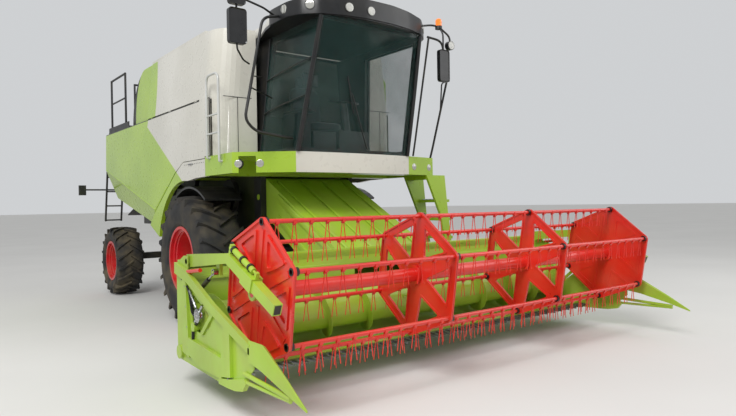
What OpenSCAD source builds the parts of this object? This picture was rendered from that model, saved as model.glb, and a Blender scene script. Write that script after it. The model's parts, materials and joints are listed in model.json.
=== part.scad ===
/* [Wheels] */
// Distance between front and rear axles
wheelbase = 3800; // [3500:10:4100]
// Radius of a front tyre over its lugs
front_tyre_r = 900; // [860:5:930]
// Width of a front tyre
front_tyre_w = 640; // [560:10:680]
// Distance from the centre plane to the middle of a front tyre
front_track = 1275; // [1275:5:1400]
// Radius of a front rim over its flange
front_rim_r = 470; // [440:5:490]
// Radius of a rear tyre over its lugs
rear_tyre_r = 640; // [600:5:650]
// Width of a rear tyre
rear_tyre_w = 480; // [400:10:500]
// Distance from the centre plane to the middle of a rear tyre
rear_track = 1300; // [1290:5:1400]
// Radius of a rear rim over its flange
rear_rim_r = 370; // [340:5:385]

/* [Body] */
// Half the width over the side panels
body_x = 1500; // [1460:5:1560]
// Thickness of a side panel, fender or tank wall
panel_t = 60; // [40:5:80]
// Height of the seam between side panels and grain tank
seam_z = 3060; // [3000:10:3120]
// Height of the top of the grain tank wall
tank_top_z = 3950; // [3800:10:4100]
// Half the width of the threshing housing
core_x = 690; // [660:5:695]
// Front face of the grain tank cheeks
tank_front_y = -1080; // [-1120:5:-1060]
// Seam between grain tank and engine hood
tank_rear_y = 1560; // [1400:10:1700]

/* [Cab] */
// Half the width of the cab at its floor
cab_x = 870; // [840:5:880]
// Front of the cab at its floor
cab_front_y = -2050; // [-2120:5:-2000]
// Height of the platform's top
platform_z = 2290; // [2260:5:2320]
// Height of the platform's green band
platform_h = 250; // [200:10:260]
// Height of the underside of the roof
roof_z = 3800; // [3700:10:3860]

/* [Header] */
// Half the distance between the header's side walls
header_x = 2600; // [2560:10:2900]
// Height of the reel's shaft
reel_z = 970; // [970:5:1100]
// Place of the reel's shaft along the machine
reel_y = -4040; // [-4100:5:-4040]
// Radius from the reel's shaft to its tine bars
reel_r = 558; // [500:2:560]
// Radius of the reel's shaft tube
reel_tube_r = 64; // [50:1:80]
// Length of a tine below its bar
tine_len = 200; // [120:5:210]
// Distance between tines
tine_pitch = 170; // [120:5:200]
// Radius of the header auger's tube
auger_tube_r = 200; // [150:5:210]
// Radius of the header auger over its flights
auger_r = 290; // [250:5:295]

/* [Hidden] */
$fn = 48;

green = "#9fc131";
white = "#d6d2c8";
red = "#d8261c";
black = "#1d1e20";
rubber = "#232427";
steel = "#8b8f92";
glass = "#3d5a58";

// Gap where one piece is seated on another
fit = 0.3;
// Looseness of a rod's eye on its pin, where the straight link drifts from the real arc
eye_play = 8;
// Least gap between pieces that move past each other
run = 5;

front_axle_z = front_tyre_r;
rear_axle_z = rear_tyre_r;
platform_low = platform_z - platform_h;
front_hub_x = front_track - 140;
rear_hub_x = rear_track - 130;
hub_pin_r = 65;
kingpin_x = rear_hub_x - 170;

// Chassis rails
rail_x = core_x + fit;
rail_t = 80;
rail_low = 1000;
rail_high = 1180;
rear_rail_low = 1320;
rear_rail_high = 1480;
chassis_front = -900;
chassis_rear = 4150;

// Pivot of the feeder house
feeder_y = -820;
feeder_z = 1760;
feeder_drum_r = 262;
feeder_pin_r = 40;
core_front = feeder_y + feeder_drum_r + run + 3;
core_rear = 4070;

// Lift cylinders
lift_x = 500;
lift_base = [-250, 880];
lift_eye = [-1750, 880];
lift_barrel_r = 55;
lift_rod_r = 32;
lift_barrel_len = 900;

ladder_pivot = [1380, -1860];
ladder_pin_r = 20;

// Header
header_back_y = -2830;
header_top_z = 1060;
header_low_z = 250;
sheet = 20;
auger_y = header_back_y - auger_r - 30;
auger_z = 590;
trough_r = auger_r + 20;
knife_y = -3590;
tip_y = -5010;
wall_t = 40;

// Reel
arm_x = 2550;
arm_t = 70;
arm_pivot = [-2950, 1150];
arm_knee = [-3760, 1225];
arm_tilt = 23;
arm_len = 820;
arm_h = 90;
arm_pin_r = 25;
// The reel's shaft seen from the arm's knee: distance along the arm and drop below it
reel_along = -(reel_y - arm_knee[0]) * cos(arm_tilt) - (reel_z - arm_knee[1]) * sin(arm_tilt);
reel_drop = (reel_y - arm_knee[0]) * sin(arm_tilt) - (reel_z - arm_knee[1]) * cos(arm_tilt);
reel_pin_r = 35;
// Reel lift cylinders
reel_cyl_x = 2573;
reel_cyl_base = [-3080, 860];
reel_cyl_eye = [-3500, 1095];
disc_t = 25;
disc_x = 2460;
spider_x = 810;
tine_bar_r = 19;

// Tank covers
cover_t = 40;
tank_wall = 40;
tank_top_x = body_x - 100;

// Unloading tube
unload_x = 1700;
unload_y = -350;
unload_z = 3620;
unload_r = 165;
elbow_z = unload_z - 380;
unload_end = 4560;

// Geometry helpers
module both() {
    children();
    mirror([1, 0, 0]) children();
}

// Extrudes an outline of [y, z] points along X from x0 over a width t
module slab(outline, x0, t) {
    translate([x0, 0, 0]) rotate([90, 0, 90]) linear_extrude(t) polygon(outline);
}

// A box given by its low and high corners
module box(low, high) {
    translate(low) cube(high - low);
}

// A round bar along X
module bar_x(x0, x1, y, z, r) {
    translate([x0, y, z]) rotate([0, 90, 0]) cylinder(h = x1 - x0, r = r);
}

// A round bar from p to q
module rod(p, q, r) {
    v = q - p;
    len = norm(v);
    translate(p) rotate([0, acos(v[2] / len), atan2(v[1], v[0])]) cylinder(h = len, r = r);
}

// A bent tube through a list of points, with a ball at each bend
module bent_tube(points, r) {
    for (i = [0 : len(points) - 2]) rod(points[i], points[i + 1], r);
    for (i = [1 : len(points) - 2]) translate(points[i]) sphere(r = r * 1.08);
}

// Points of an arc about [cy, cz]
function arc(cy, cz, r, a0, a1, n) =
    [for (i = [0 : n]) let (a = a0 + (a1 - a0) * i / n) [cy + r * cos(a), cz + r * sin(a)]];

// A flat panel grown from its outline along its normal, or against it where t is negative
module panel(outline, t) {
    n = len(outline);
    pts = t > 0 ? outline : [for (i = [n - 1 : -1 : 0]) outline[i]];
    c = cross(pts[1] - pts[0], pts[2] - pts[0]);
    d = c / norm(c) * abs(t);
    back = [for (p = pts) p + d];
    polyhedron(
        concat(pts, back),
        concat(
            [[for (i = [0 : n - 1]) i]],
            [[for (i = [n - 1 : -1 : 0]) n + i]],
            [for (i = [0 : n - 1]) [i, n + i, n + (i + 1) % n, (i + 1) % n]]
        )
    );
}

// A sheet between a lower and an upper line of points, of thickness given by the vector d
module ruled_sheet(low, high, d) {
    n = len(low);
    pts = concat(low, high, [for (p = low) p + d], [for (p = high) p + d]);
    polyhedron(pts, concat(
        [for (i = [0 : n - 2]) [i, i + 1, n + i + 1]],
        [for (i = [0 : n - 2]) [i, n + i + 1, n + i]],
        [for (i = [0 : n - 2]) [2 * n + i, 3 * n + i + 1, 2 * n + i + 1]],
        [for (i = [0 : n - 2]) [2 * n + i, 3 * n + i, 3 * n + i + 1]],
        [for (i = [0 : n - 2]) [i, 2 * n + i + 1, i + 1]],
        [for (i = [0 : n - 2]) [i, 2 * n + i, 2 * n + i + 1]],
        [for (i = [0 : n - 2]) [n + i, n + i + 1, 3 * n + i + 1]],
        [for (i = [0 : n - 2]) [n + i, 3 * n + i + 1, 3 * n + i]],
        [[0, n, 3 * n], [0, 3 * n, 2 * n]],
        [[n - 1, 3 * n - 1, 4 * n - 1], [n - 1, 4 * n - 1, 2 * n - 1]]
    ));
}

// Wheels, drawn for the left side
module tyre(cx, cy, r, w, bead_r) {
    shoulder = w / 2 - 20;
    color(rubber) translate([cx, cy, r]) rotate([0, 90, 0]) rotate_extrude($fn = 96)
        polygon([
            [bead_r, -w / 2 + 45], [bead_r + 22, -w / 2 + 45], [bead_r + 60, -w / 2 + 12], [(bead_r + r) / 2, -w / 2],
            [r - 70, -w / 2 + 8], [r - 12, -shoulder], [r, -shoulder + 60],
            [r, shoulder - 60], [r - 12, shoulder], [r - 70, w / 2 - 8],
            [(bead_r + r) / 2, w / 2], [bead_r + 60, w / 2 - 12], [bead_r + 22, w / 2 - 45], [bead_r, w / 2 - 45]
        ]);
}

module rim(cx, cy, r, w, flange_r, hub_x) {
    half = w / 2 - 45 + fit;
    bead = flange_r - 18 - fit;
    inner = bead - 20;
    disc = hub_x - cx;
    color(red) translate([cx, cy, r]) rotate([0, 90, 0]) rotate_extrude($fn = 96) polygon([
        [flange_r, -half - 14], [flange_r, -half], [bead, -half], [bead, half], [flange_r, half], [flange_r, half + 14],
        [inner, half + 14], [inner, half - 40], [inner - 40, half - 75], [inner - 40, disc + 55], [inner - 75, disc + 18],
        [190, disc + 18], [170, disc + 34], [hub_pin_r + fit, disc + 34], [hub_pin_r + fit, disc], [inner - 60, disc], [inner, disc - 60], [inner, -half - 14]
    ]);
}

module front_tyre_left() { tyre(front_track, 0, front_tyre_r, front_tyre_w, front_rim_r - 18); }
module front_tyre_right() { mirror([1, 0, 0]) front_tyre_left(); }
module rear_tyre_left() { tyre(rear_track, wheelbase, rear_tyre_r, rear_tyre_w, rear_rim_r - 18); }
module rear_tyre_right() { mirror([1, 0, 0]) rear_tyre_left(); }
module front_rim_left() { rim(front_track, 0, front_tyre_r, front_tyre_w, front_rim_r, front_hub_x); }
module front_rim_right() { mirror([1, 0, 0]) front_rim_left(); }
module rear_rim_left() { rim(rear_track, wheelbase, rear_tyre_r, rear_tyre_w, rear_rim_r, rear_hub_x); }
module rear_rim_right() { mirror([1, 0, 0]) rear_rim_left(); }

// Chassis and axles
module chassis_frame() {
    rail = [
        [chassis_front, rail_low], [3000, rail_low], [3300, rear_rail_low], [chassis_rear, rear_rail_low],
        [chassis_rear, rear_rail_high], [3200, rear_rail_high], [2900, rail_high], [chassis_front, rail_high]
    ];
    color(black) difference() {
        union() {
            both() {
                slab(rail, rail_x, rail_t);
                box([rail_x, chassis_front, rail_high - 10], [rail_x + rail_t, chassis_front + 200, platform_low - fit]);
            }
            box([-rail_x - 10, chassis_front, 1150], [rail_x + 10, chassis_front + 80, 1230]);
            box([-rail_x - 10, wheelbase - 140, rear_rail_low], [rail_x + 10, wheelbase + 140, rear_rail_high]);
            box([-150, wheelbase - 100, rear_axle_z + 120], [150, wheelbase + 100, rear_rail_low + 10]);
            box([-rail_x - 10, chassis_rear - 80, rear_rail_low], [rail_x + 10, chassis_rear, rear_rail_high]);
            // Drawbar jaw
            box([-120, chassis_rear - 10, 900], [120, chassis_rear + 40, rear_rail_high]);
            for (z = [920, 1020]) box([-80, chassis_rear + 30, z], [80, chassis_rear + 190, z + 30]);
        }
        bar_x(-2000, 2000, feeder_y, feeder_z, feeder_pin_r + fit);
        translate([0, chassis_rear + 120, 800]) cylinder(h = 400, r = 16);
    }
}

module front_axle() {
    color(black) union() {
        box([-790, -110, front_axle_z - 100], [790, 110, rail_low - fit]);
        both() {
            bar_x(785, front_hub_x - 50, 0, front_axle_z, 230);
            bar_x(front_hub_x - 60, front_hub_x - fit, 0, front_axle_z, 190);
            bar_x(front_hub_x - 60, front_hub_x + 70, 0, front_axle_z, hub_pin_r);
            // Lugs that carry the lift cylinders
            for (dx = [-75, 45]) difference() {
                box([lift_x + dx, lift_base[0] - 40, lift_base[1] - 60], [lift_x + dx + 30, -100, lift_base[1] + 60]);
            }
            bar_x(lift_x - 80, lift_x + 80, lift_base[0], lift_base[1], 20);
        }
    }
}

module rear_axle() {
    color(black) difference() {
        union() {
            box([-kingpin_x + 20, wheelbase - 60, rear_axle_z], [kingpin_x - 20, wheelbase + 60, rear_axle_z + 120 - fit]);
            both() translate([kingpin_x, wheelbase, rear_axle_z - 80]) cylinder(h = 240, r = 60);
        }
        both() translate([kingpin_x, wheelbase, rear_axle_z - 200]) cylinder(h = 500, r = 25 + fit);
    }
}

module axles() {
    front_axle();
    rear_axle();
}

module knuckle() {
    color(black) {
        for (z = [rear_axle_z - 80 - run - 35, rear_axle_z + 160 + run])
            box([kingpin_x - 50, wheelbase - 60, z], [kingpin_x + 110, wheelbase + 60, z + 35]);
        box([kingpin_x + 75, wheelbase - 60, rear_axle_z - 80 - run - 35], [kingpin_x + 110, wheelbase + 60, rear_axle_z + 160 + run + 35]);
        bar_x(kingpin_x + 100, rear_hub_x - fit, wheelbase, rear_axle_z, 120);
        bar_x(kingpin_x + 100, rear_hub_x + 70, wheelbase, rear_axle_z, hub_pin_r);
        translate([kingpin_x, wheelbase, rear_axle_z - 80 - run - 30]) cylinder(h = 240 + 2 * run + 60, r = 25);
    }
}
module knuckle_left() { knuckle(); }
module knuckle_right() { mirror([1, 0, 0]) knuckle(); }

// Threshing and separating housing
module threshing_housing() {
    core = [
        [core_front, 1200], [core_front, platform_z - fit], [tank_rear_y + 10, platform_z - fit], [tank_rear_y + 10, seam_z - fit],
        [core_rear, seam_z - fit], [core_rear, rear_rail_high + 10], [3300, rear_rail_high + 10],
        [2900, 1190], [2700, 1100], [2300, 960], [900, 780], [300, 850], [300, 1200]
    ];
    color("#7f9a34") slab(core, -core_x, 2 * core_x);
}

module side_drives() {
    // Belt pulleys on the two sides of the housing: [y, z, radius]
    pulleys = [[-100, 1800, 230], [700, 1700, 180], [1400, 2100, 260], [2300, 2000, 160], [2100, 2700, 150]];
    color(steel) both() {
        for (p = pulleys) {
            bar_x(core_x + fit, core_x + 120, p[0], p[1], 40);
            bar_x(core_x + 120, core_x + 190, p[0], p[1], p[2]);
        }
    }
}

// Side panels: [y, z] outlines of the main face and of the tucked lower face
panel_front = -900;
panel_rear = 4030;
panel_top = seam_z - 26;
crease_front = [1230, 1590];
crease_rear = [4080, 2350];
module side_panel() {
    main_face = [
        [panel_front, panel_top], [panel_front, platform_z + 8], [-740, platform_z + 8], [-740, 2275], [20, 2275], [340, 2140],
        crease_front, crease_rear, [panel_rear, panel_top]
    ];
    low_face = [crease_front, [1500, 1370], [3760, 1830], crease_rear];
    color(green) union() {
        slab(main_face, body_x - panel_t, panel_t);
        slab(low_face, body_x - panel_t, panel_t - 12);
    }
}
module side_panel_left() { side_panel(); }
module side_panel_right() { mirror([1, 0, 0]) side_panel(); }

module fender_panels() {
    outline = concat(
        [[-750, 2265], [15, 2265], [330, 2128], [1222, 1580], [1490, 1362]],
        arc(0, front_axle_z, 1110, 15, 97, 12),
        [[-450, 2030], [-750, 2035]]
    );
    color(white) both() {
        slab(outline, body_x - panel_t, panel_t);
        // Brackets to the housing
        for (q = [[250, 2050], [1150, 1480]]) bar_x(core_x + fit, body_x - panel_t + 10, q[0], q[1], 20);
    }
}

module mudguards() {
    arch = concat(arc(0, front_axle_z, 1030, 10, 125, 14), arc(0, front_axle_z, 1000, 125, 10, 14));
    color(black) both() slab(arch, 900, body_x - panel_t - 900 - fit);
}

// Grain tank
module rounded_plan(x, y0, y1, r) {
    hull() {
        for (sx = [-1, 1]) {
            translate([sx * (x - r), y0 + r]) circle(r = r);
            translate([sx * (x - 30), y1 - 30]) circle(r = 30);
        }
    }
}

module grain_tank() {
    corner_r = 340;
    h = tank_top_z - seam_z;
    mid = (tank_front_y + tank_rear_y) / 2;
    sx = tank_top_x / body_x;
    color(white) difference() {
        union() {
            translate([0, mid, seam_z]) linear_extrude(h, scale = [sx, 1], $fn = 32)
                translate([0, -mid]) rounded_plan(body_x, tank_front_y, tank_rear_y, corner_r);
            // Cheeks beside the cab
            translate([0, 0, platform_z + fit]) linear_extrude(seam_z - platform_z) intersection() {
                rounded_plan(body_x, tank_front_y, tank_rear_y, corner_r);
                translate([-body_x, tank_front_y]) square([2 * body_x, -tank_front_y - 600]);
            }
            // Hopper under the tank
            hull() {
                box([-1400, -590, seam_z], [1400, tank_rear_y - 60, seam_z + 10]);
                box([-560, -500, platform_z], [560, tank_rear_y - 400, platform_z + 10]);
            }
            // Pad for the elbow of the unloading tube
            box([1300, unload_y - 185, elbow_z - 185], [body_x, unload_y + 185, elbow_z + 185]);
            // Hinge blocks over the side panels
            both() for (y = [-500, 500, 1300])
                box([body_x - panel_t, y, panel_top + fit], [body_x - 6, y + 90, seam_z + 5]);
        }
        // Room for the side panels
        both() box([body_x - panel_t - run, panel_front - run, platform_z - 10], [body_x + 10, tank_rear_y + 10, panel_top + fit]);
        // Room for the cab
        box([-cab_x - 35, tank_front_y - 10, platform_z - 10], [cab_x + 35, -600, tank_top_z + 100]);
        // Tank's inside
        hull() {
            box([-tank_top_x + 45, -550, tank_top_z], [tank_top_x - 45, tank_rear_y - tank_wall, tank_top_z + 20]);
            box([-body_x + 50, -550, seam_z + 40], [body_x - 50, tank_rear_y - tank_wall, seam_z + 50]);
        }
        hull() {
            box([-1340, -550, seam_z + 30], [1340, tank_rear_y - 100, seam_z + 60]);
            box([-520, -460, platform_z + 40], [520, tank_rear_y - 440, platform_z + 50]);
        }
    }
}

// Elbow that carries the unloading tube
module unload_elbow() {
    color(white) {
        bar_x(body_x + fit, unload_x, unload_y, elbow_z, unload_r);
        translate([unload_x, unload_y, elbow_z]) cylinder(h = unload_z - 200 - elbow_z, r = unload_r);
        translate([unload_x, unload_y, elbow_z]) sphere(r = unload_r * 1.02);
        translate([unload_x, unload_y, unload_z - 240]) cylinder(h = 105, r = 60);
    }
}

module tank_cover() {
    color(white) box([3, -595, tank_top_z + fit], [tank_top_x - 5, tank_rear_y - 5, tank_top_z + fit + cover_t]);
}
module tank_cover_left() { tank_cover(); }
module tank_cover_right() { mirror([1, 0, 0]) tank_cover(); }

// Engine hood behind the tank
hood_front = tank_rear_y + fit;
module hood_outline(inset) {
    polygon(concat(
        [[hood_front + inset, seam_z - 1], [hood_front + inset, tank_top_z - inset]],
        [[1950, tank_top_z - inset]],
        [[2300 - inset, 3780 - inset / 2], [2560 - inset, 3480], [2720 - inset, seam_z - 1]]
    ));
}

module engine_hood() {
    hood_x = tank_top_x - 10;
    color(green) difference() {
        translate([-hood_x, 0, 0]) rotate([90, 0, 90]) linear_extrude(2 * hood_x) hood_outline(0);
        translate([-hood_x + 40, 0, 0]) rotate([90, 0, 90]) linear_extrude(2 * hood_x - 80) hood_outline(40);
        box([-hood_x - 10, 0, seam_z - 10], [hood_x + 10, 4000, seam_z]);
        box([-hood_x + 100, 2200, 3160], [hood_x - 100, 3000, 3700]);
    }
}

module engine_block() {
    color(black) box([-450, 1700, seam_z], [450, 2100, 3700]);
}

module radiator_screen() {
    color(black) box([-1200, 2130, seam_z], [1200, 2180, 3690]);
}

module service_deck() {
    deck_z = seam_z;
    top = deck_z + 40;
    rail_top = 4080;
    r = 19;
    color(black) {
        box([-1440, 2730, deck_z], [1440, 4050, top]);
        // Rails round the deck: right side, rear and left side
        for (s = [-1, 1])
            bent_tube([[s * 1400, 3050, top - 5], [s * 1400, 3050, rail_top], [s * 1400, 3950, rail_top], [s * 1400, 3950, top - 5]], r);
        for (s = [-1, 1]) rod([s * 1400, 3050, 3640], [s * 1400, 3950, 3640], r * 0.8);
        bent_tube([[-950, 4010, top - 5], [-950, 4010, rail_top], [1300, 4010, rail_top], [1300, 4010, top - 5]], r);
        rod([-950, 4010, 3640], [1300, 4010, 3640], r * 0.8);
        // Ladder at the rear right corner
        for (x = [-1420, -1120]) bent_tube([[x, 4040, deck_z + 20], [x, 4180, 2900], [x, 4500, 1380]], r);
        for (i = [0 : 5]) rod([-1420, 4500 - i * 60, 1400 + i * 285], [-1120, 4500 - i * 60, 1400 + i * 285], 14);
    }
}

// Straw hood, open below
module straw_hood() {
    y0 = core_rear + fit;
    outer = [[y0, seam_z - 5], [4400, 2950], [4700, 2500], [4800, 1900], [4800, 1750], [y0, 1750]];
    inner = [[y0 - 1, seam_z - 45], [4380, 2910], [4660, 2490], [4760, 1890], [4760, 1740], [y0 - 1, 1740]];
    color(green) difference() {
        slab(outer, -core_x, 2 * core_x);
        slab(inner, -core_x + 30, 2 * core_x - 60);
    }
}

module straw_chopper() {
    color(black) {
        box([-core_x, 4250, 1500], [core_x, 4700, 1750 - fit]);
        hull() {
            box([-core_x, 4690, 1640], [core_x, 4700, 1749]);
            box([-core_x - 150, -tip_y - 10, 1480], [core_x + 150, -tip_y, 1500]);
        }
    }
}

// Platform under the cab
module platform_plan() {
    polygon([
        [-body_x, -760], [-body_x, -1570], [-900, cab_front_y], [900, cab_front_y], [1450, -1950], [body_x, -1400], [body_x, -760]
    ]);
}

module cab_platform() {
    color(green) difference() {
        translate([0, 0, platform_low]) linear_extrude(platform_h) platform_plan();
        box([-900, cab_front_y - 10, platform_low - 10], [900, cab_front_y + 80, platform_z + 10]);
        box([-body_x + 60, cab_front_y + 300, platform_low - 10], [body_x - 60, -960, platform_low + 200]);
        // Bore for the ladder's pin
        translate([ladder_pivot[0], ladder_pivot[1], platform_low - 10]) cylinder(h = 160, r = ladder_pin_r + fit);
    }
}

module front_cowl() {
    bulge = concat([[-899, cab_front_y + 79]], [for (i = [0 : 12]) let (x = -899 + i * 1798 / 12) [x, cab_front_y - 60 * (1 - pow(x / 899, 2))]], [[899, cab_front_y + 79]]);
    color(white) translate([0, 0, platform_low]) linear_extrude(platform_h) polygon(bulge);
}

// Cab
cab_floor = platform_z + fit;
cab_back = -620;
a_top = [770, -2450];
cab_post = 50;
// The cab's sides lean in by this angle
cab_tilt = atan((cab_x - a_top[0]) / (roof_z + 40 - cab_floor));
side_s = (roof_z + 40 - cab_floor) / cos(cab_tilt);
function front_at(s) = cab_front_y + (a_top[1] - cab_front_y) * s / side_s;

// Extrudes an outline of [y, s] points outwards from the left side of the cab, with s measured up the side
module on_side(x0, t) {
    translate([cab_x, 0, cab_floor]) rotate([0, -cab_tilt, 0]) translate([x0, 0, 0]) rotate([90, 0, 90]) linear_extrude(t) children();
}

// Half the width between the two sides' inner faces at height z
function cab_inner_x(z) = cab_x - (z - cab_floor) * tan(cab_tilt) - cab_post / cos(cab_tilt);
door_axis = [904, -1105];
door_hinges = [2430, 3250];
// Outline of the door and of its window
function door_line(d) = [
    [front_at(12 + d) + 15 + d, 12 + d], [-1110 - d, 12 + d], [-1280 - d, side_s - 50 - d], [front_at(side_s - 50 - d) + 15 + d, side_s - 50 - d]
];
module cab_frame() {
    front = 10 + fit;
    top = roof_z + 40;
    color(black) difference() {
        union() {
            box([-cab_x + 30, cab_front_y + front + 5, cab_floor], [cab_x - 30, cab_back, cab_floor + 50]);
            translate([0, cab_back, 0]) rotate([90, 0, 0]) linear_extrude(40)
                polygon([[-cab_inner_x(2900) - 10, cab_floor], [cab_inner_x(2900) + 10, cab_floor], [cab_inner_x(2900) + 10, 2900], [-cab_inner_x(2900) - 10, 2900]]);
            both() on_side(-cab_post, cab_post) difference() {
                polygon([[front_at(4) + front, 4], [cab_back, 4], [cab_back, side_s], [front_at(side_s) + front, side_s]]);
                polygon(door_line(45));
            }
            box([-a_top[0] + 20, a_top[1] + front + 12, roof_z + 5], [a_top[0] - 20, a_top[1] + 70, top]);
            box([-a_top[0] + 20, cab_back - cab_post, roof_z + 5], [a_top[0] - 20, cab_back, top]);
            // Hinge pins of the door on their brackets
            for (z = door_hinges) {
                box([cab_x - (z - cab_floor) * tan(cab_tilt) - 15, door_axis[1] - 10, z - 10], [door_axis[0] + 12, door_axis[1] + 14, z]);
                translate([door_axis[0], door_axis[1], z - 10]) cylinder(h = 64, r = 10);
            }
        }
        box([-cab_x, cab_front_y - 500, top], [cab_x, 0, top + 100]);
    }
}

module cab_glass() {
    n = 8;
    t = 10;
    low = [for (i = [0 : n]) let (u = 1 - 2 * i / n) [u * cab_x, cab_front_y - 60 * (1 - u * u), cab_floor]];
    high = [for (i = [0 : n]) let (u = 1 - 2 * i / n) [u * a_top[0], a_top[1] - 80 * (1 - u * u), roof_z + 39]];
    color(glass) {
        ruled_sheet(low, high, [0, t, 0]);
        // Right side
        mirror([1, 0, 0]) on_side(fit, 8) polygon([[front_at(12) + 15, 12], [-1085, 12], [-1255, side_s - 12], [front_at(side_s - 12) + 15, side_s - 12]]);
        // Rear window
        translate([0, cab_back - 15, 0]) rotate([90, 0, 0]) linear_extrude(8) polygon([
            [-cab_inner_x(2901) + 1, 2900 + fit], [cab_inner_x(2901) - 1, 2900 + fit],
            [cab_inner_x(roof_z + 5) - 1, roof_z + 5 - fit], [-cab_inner_x(roof_z + 5) + 1, roof_z + 5 - fit]
        ]);
    }
}

module cab_door() {
    color(black) difference() {
        union() {
            on_side(fit, 32) difference() {
                polygon(door_line(0));
                polygon(door_line(60));
            }
            // Lower and upper hinge arms with their sleeves
            for (z = door_hinges) let (x = cab_x - (z - cab_floor) * tan(cab_tilt), y = -1110 - 170 * (z - cab_floor) / side_s) {
                translate([door_axis[0], door_axis[1], z + fit]) cylinder(h = 50, r = 18);
                translate([0, 0, z + fit]) linear_extrude(50)
                    polygon([[x + 20, y - 50], [x + 20, y - 15], [door_axis[0] - 11, door_axis[1] + 5], [door_axis[0] + 16, door_axis[1] - 5], [x + 46, y - 50]]);
            }
        }
        for (z = door_hinges) translate([door_axis[0], door_axis[1], z - 20]) cylinder(h = 100, r = 10.5);
    }
}

module door_glass() {
    color(glass) on_side(12, 10) polygon(door_line(60 + fit));
}

module cab_roof() {
    color(white) translate([0, 0, roof_z + 40 + fit]) linear_extrude(160, scale = 0.92)
        polygon([[-900, -700], [-900, -2300], [-700, -2440], [700, -2440], [900, -2300], [900, -700]]);
}

lamp_places = [-800, -560, -320, 320, 560, 800];
lamp_z = roof_z + 140;
lamp_r = 60;
module roof_visor() {
    front = [for (i = [0 : 10]) let (x = -1000 + i * 200) [x, -2420 - 190 * (1 - pow(x / 1000, 2))]];
    back = [for (i = [0 : 10]) let (x = 940 - i * 188) [x, -2380 - 150 * (1 - pow(x / 940, 2))]];
    color(black) difference() {
        translate([0, 0, roof_z + 45]) linear_extrude(210) polygon(concat([[-1050, -1750]], [[-1050, -2300]], front, [[1050, -2300], [1050, -1750], [990, -1750], [990, -2260]], back, [[-990, -2260], [-990, -1750]]));
        for (x = lamp_places) translate([x, -2500, lamp_z]) rotate([90, 0, 0]) cylinder(h = 300, r = lamp_r + 0.8);
    }
}

module lamps() {
    color("#e8e6da") for (x = lamp_places) translate([x, -2500 - fit, lamp_z]) rotate([90, 0, 0]) cylinder(h = 40, r = lamp_r);
}

module seat() {
    color(black) {
        box([-240, -1400, cab_floor + 50 + fit], [240, -950, cab_floor + 350]);
        box([-260, -1450, cab_floor + 350], [260, -920, cab_floor + 480]);
        hull() {
            box([-250, -930, cab_floor + 470], [250, -860, cab_floor + 500]);
            box([-200, -800, cab_floor + 1100], [200, -740, cab_floor + 1130]);
        }
    }
}

module steering_column() {
    color(black) {
        translate([0, -1900, cab_floor + 50 + fit]) cylinder(h = 80, r = 60);
        rod([0, -1900, cab_floor + 110], [0, -1780, cab_floor + 700], 45);
        translate([0, -1780, cab_floor + 700]) rotate([-12, 0, 0]) rotate_extrude() translate([190, 0]) circle(r = 16);
        translate([0, -1780, cab_floor + 700]) rotate([-12, 0, 0]) box([-190, -15, -8], [190, 15, 8]);
    }
}

module cab_interior() {
    seat();
    steering_column();
}

module mirrors() {
    color(black) {
        box([-1870, -2330, 3380], [-1660, -2290, 3760]);
        box([-1062, -2290, 3865], [-1050 - fit, -2210, 3935]);
        bent_tube([[-1055, -2250, 3900], [-1760, -2310, 3880], [-1760, -2310, 3740]], 12);
        box([1300, -2420, 3300], [1480, -2380, 3640]);
        box([1050 + fit, -2290, 3865], [1062, -2210, 3935]);
        bent_tube([[1055, -2250, 3900], [1390, -2400, 3880], [1390, -2400, 3620]], 12);
    }
}

module cab_rails() {
    color(black) {
        box([-1062, -1990, 3865], [-1050 - fit, -1910, 3935]);
        bent_tube([[-1055, -1950, 3900], [-1260, -1950, 3850], [-1560, -2050, 2620], [-1400, -2000, 2500], [-960, -1980, 2450], [-960, -1980, platform_z + fit]], 18);
    }
}

module mirrors_and_rails() {
    mirrors();
    cab_rails();
}

module boarding_ladder() {
    top = platform_low - fit;
    stringer = [[1280, top], [1640, top], [1700, 1500], [1860, 450], [1760, 450], [1560, 1450]];
    color(green) {
        for (y = [-2000, -1540]) translate([0, y + 40, 0]) rotate([90, 0, 0]) linear_extrude(40) polygon(stringer);
        box([1300, -1970, top - 60], [1450, -1530, top]);
        translate([ladder_pivot[0], ladder_pivot[1], top - 40]) cylinder(h = 180, r = ladder_pin_r);
        for (i = [0 : 4]) box([1560 + i * 50 - (i > 3 ? 20 : 0), -1970, 1650 - i * 270], [1760 + i * 30, -1530, 1690 - i * 270]);
    }
}

module unload_tube() {
    color(green) difference() {
        union() {
            translate([unload_x, unload_y, unload_z - 200 + fit]) cylinder(h = 200, r = unload_r);
            translate([unload_x, unload_y, unload_z]) sphere(r = unload_r * 1.03);
            translate([unload_x, unload_y, unload_z]) rotate([-90, 0, 0]) cylinder(h = unload_end - unload_y, r = unload_r);
        }
        translate([unload_x, unload_y, unload_z - 250]) cylinder(h = 120, r = 60 + fit);
    }
}

// Feeder house
module feeder_house() {
    front_y = header_back_y + wall_t + fit;
    outer = [[-900, 2010], [front_y, 1000], [front_y, 360], [-900, 1500], [-700, 1560], [-700, 1950]];
    inner = [[-900, 1970], [front_y - 10, 960], [front_y - 10, 400], [-900, 1540], [-500, 1600], [-500, 1900]];
    color(green) difference() {
        union() {
            slab(outer, -core_x, 2 * core_x);
            bar_x(-core_x, core_x, feeder_y, feeder_z, feeder_drum_r);
            bar_x(-rail_x - rail_t, rail_x + rail_t, feeder_y, feeder_z, feeder_pin_r);
            both() for (dx = [-75, 45])
                slab([[lift_eye[0] - 60, lift_eye[1] - 40], [lift_eye[0] + 60, lift_eye[1] - 40], [lift_eye[0] + 120, 1130], [lift_eye[0] - 120, 990]], lift_x + dx, 30);
            both() bar_x(lift_x - 80, lift_x + 80, lift_eye[0], lift_eye[1], 20);
        }
        slab(inner, -core_x + 40, 2 * core_x - 80);
    }
}

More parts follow.
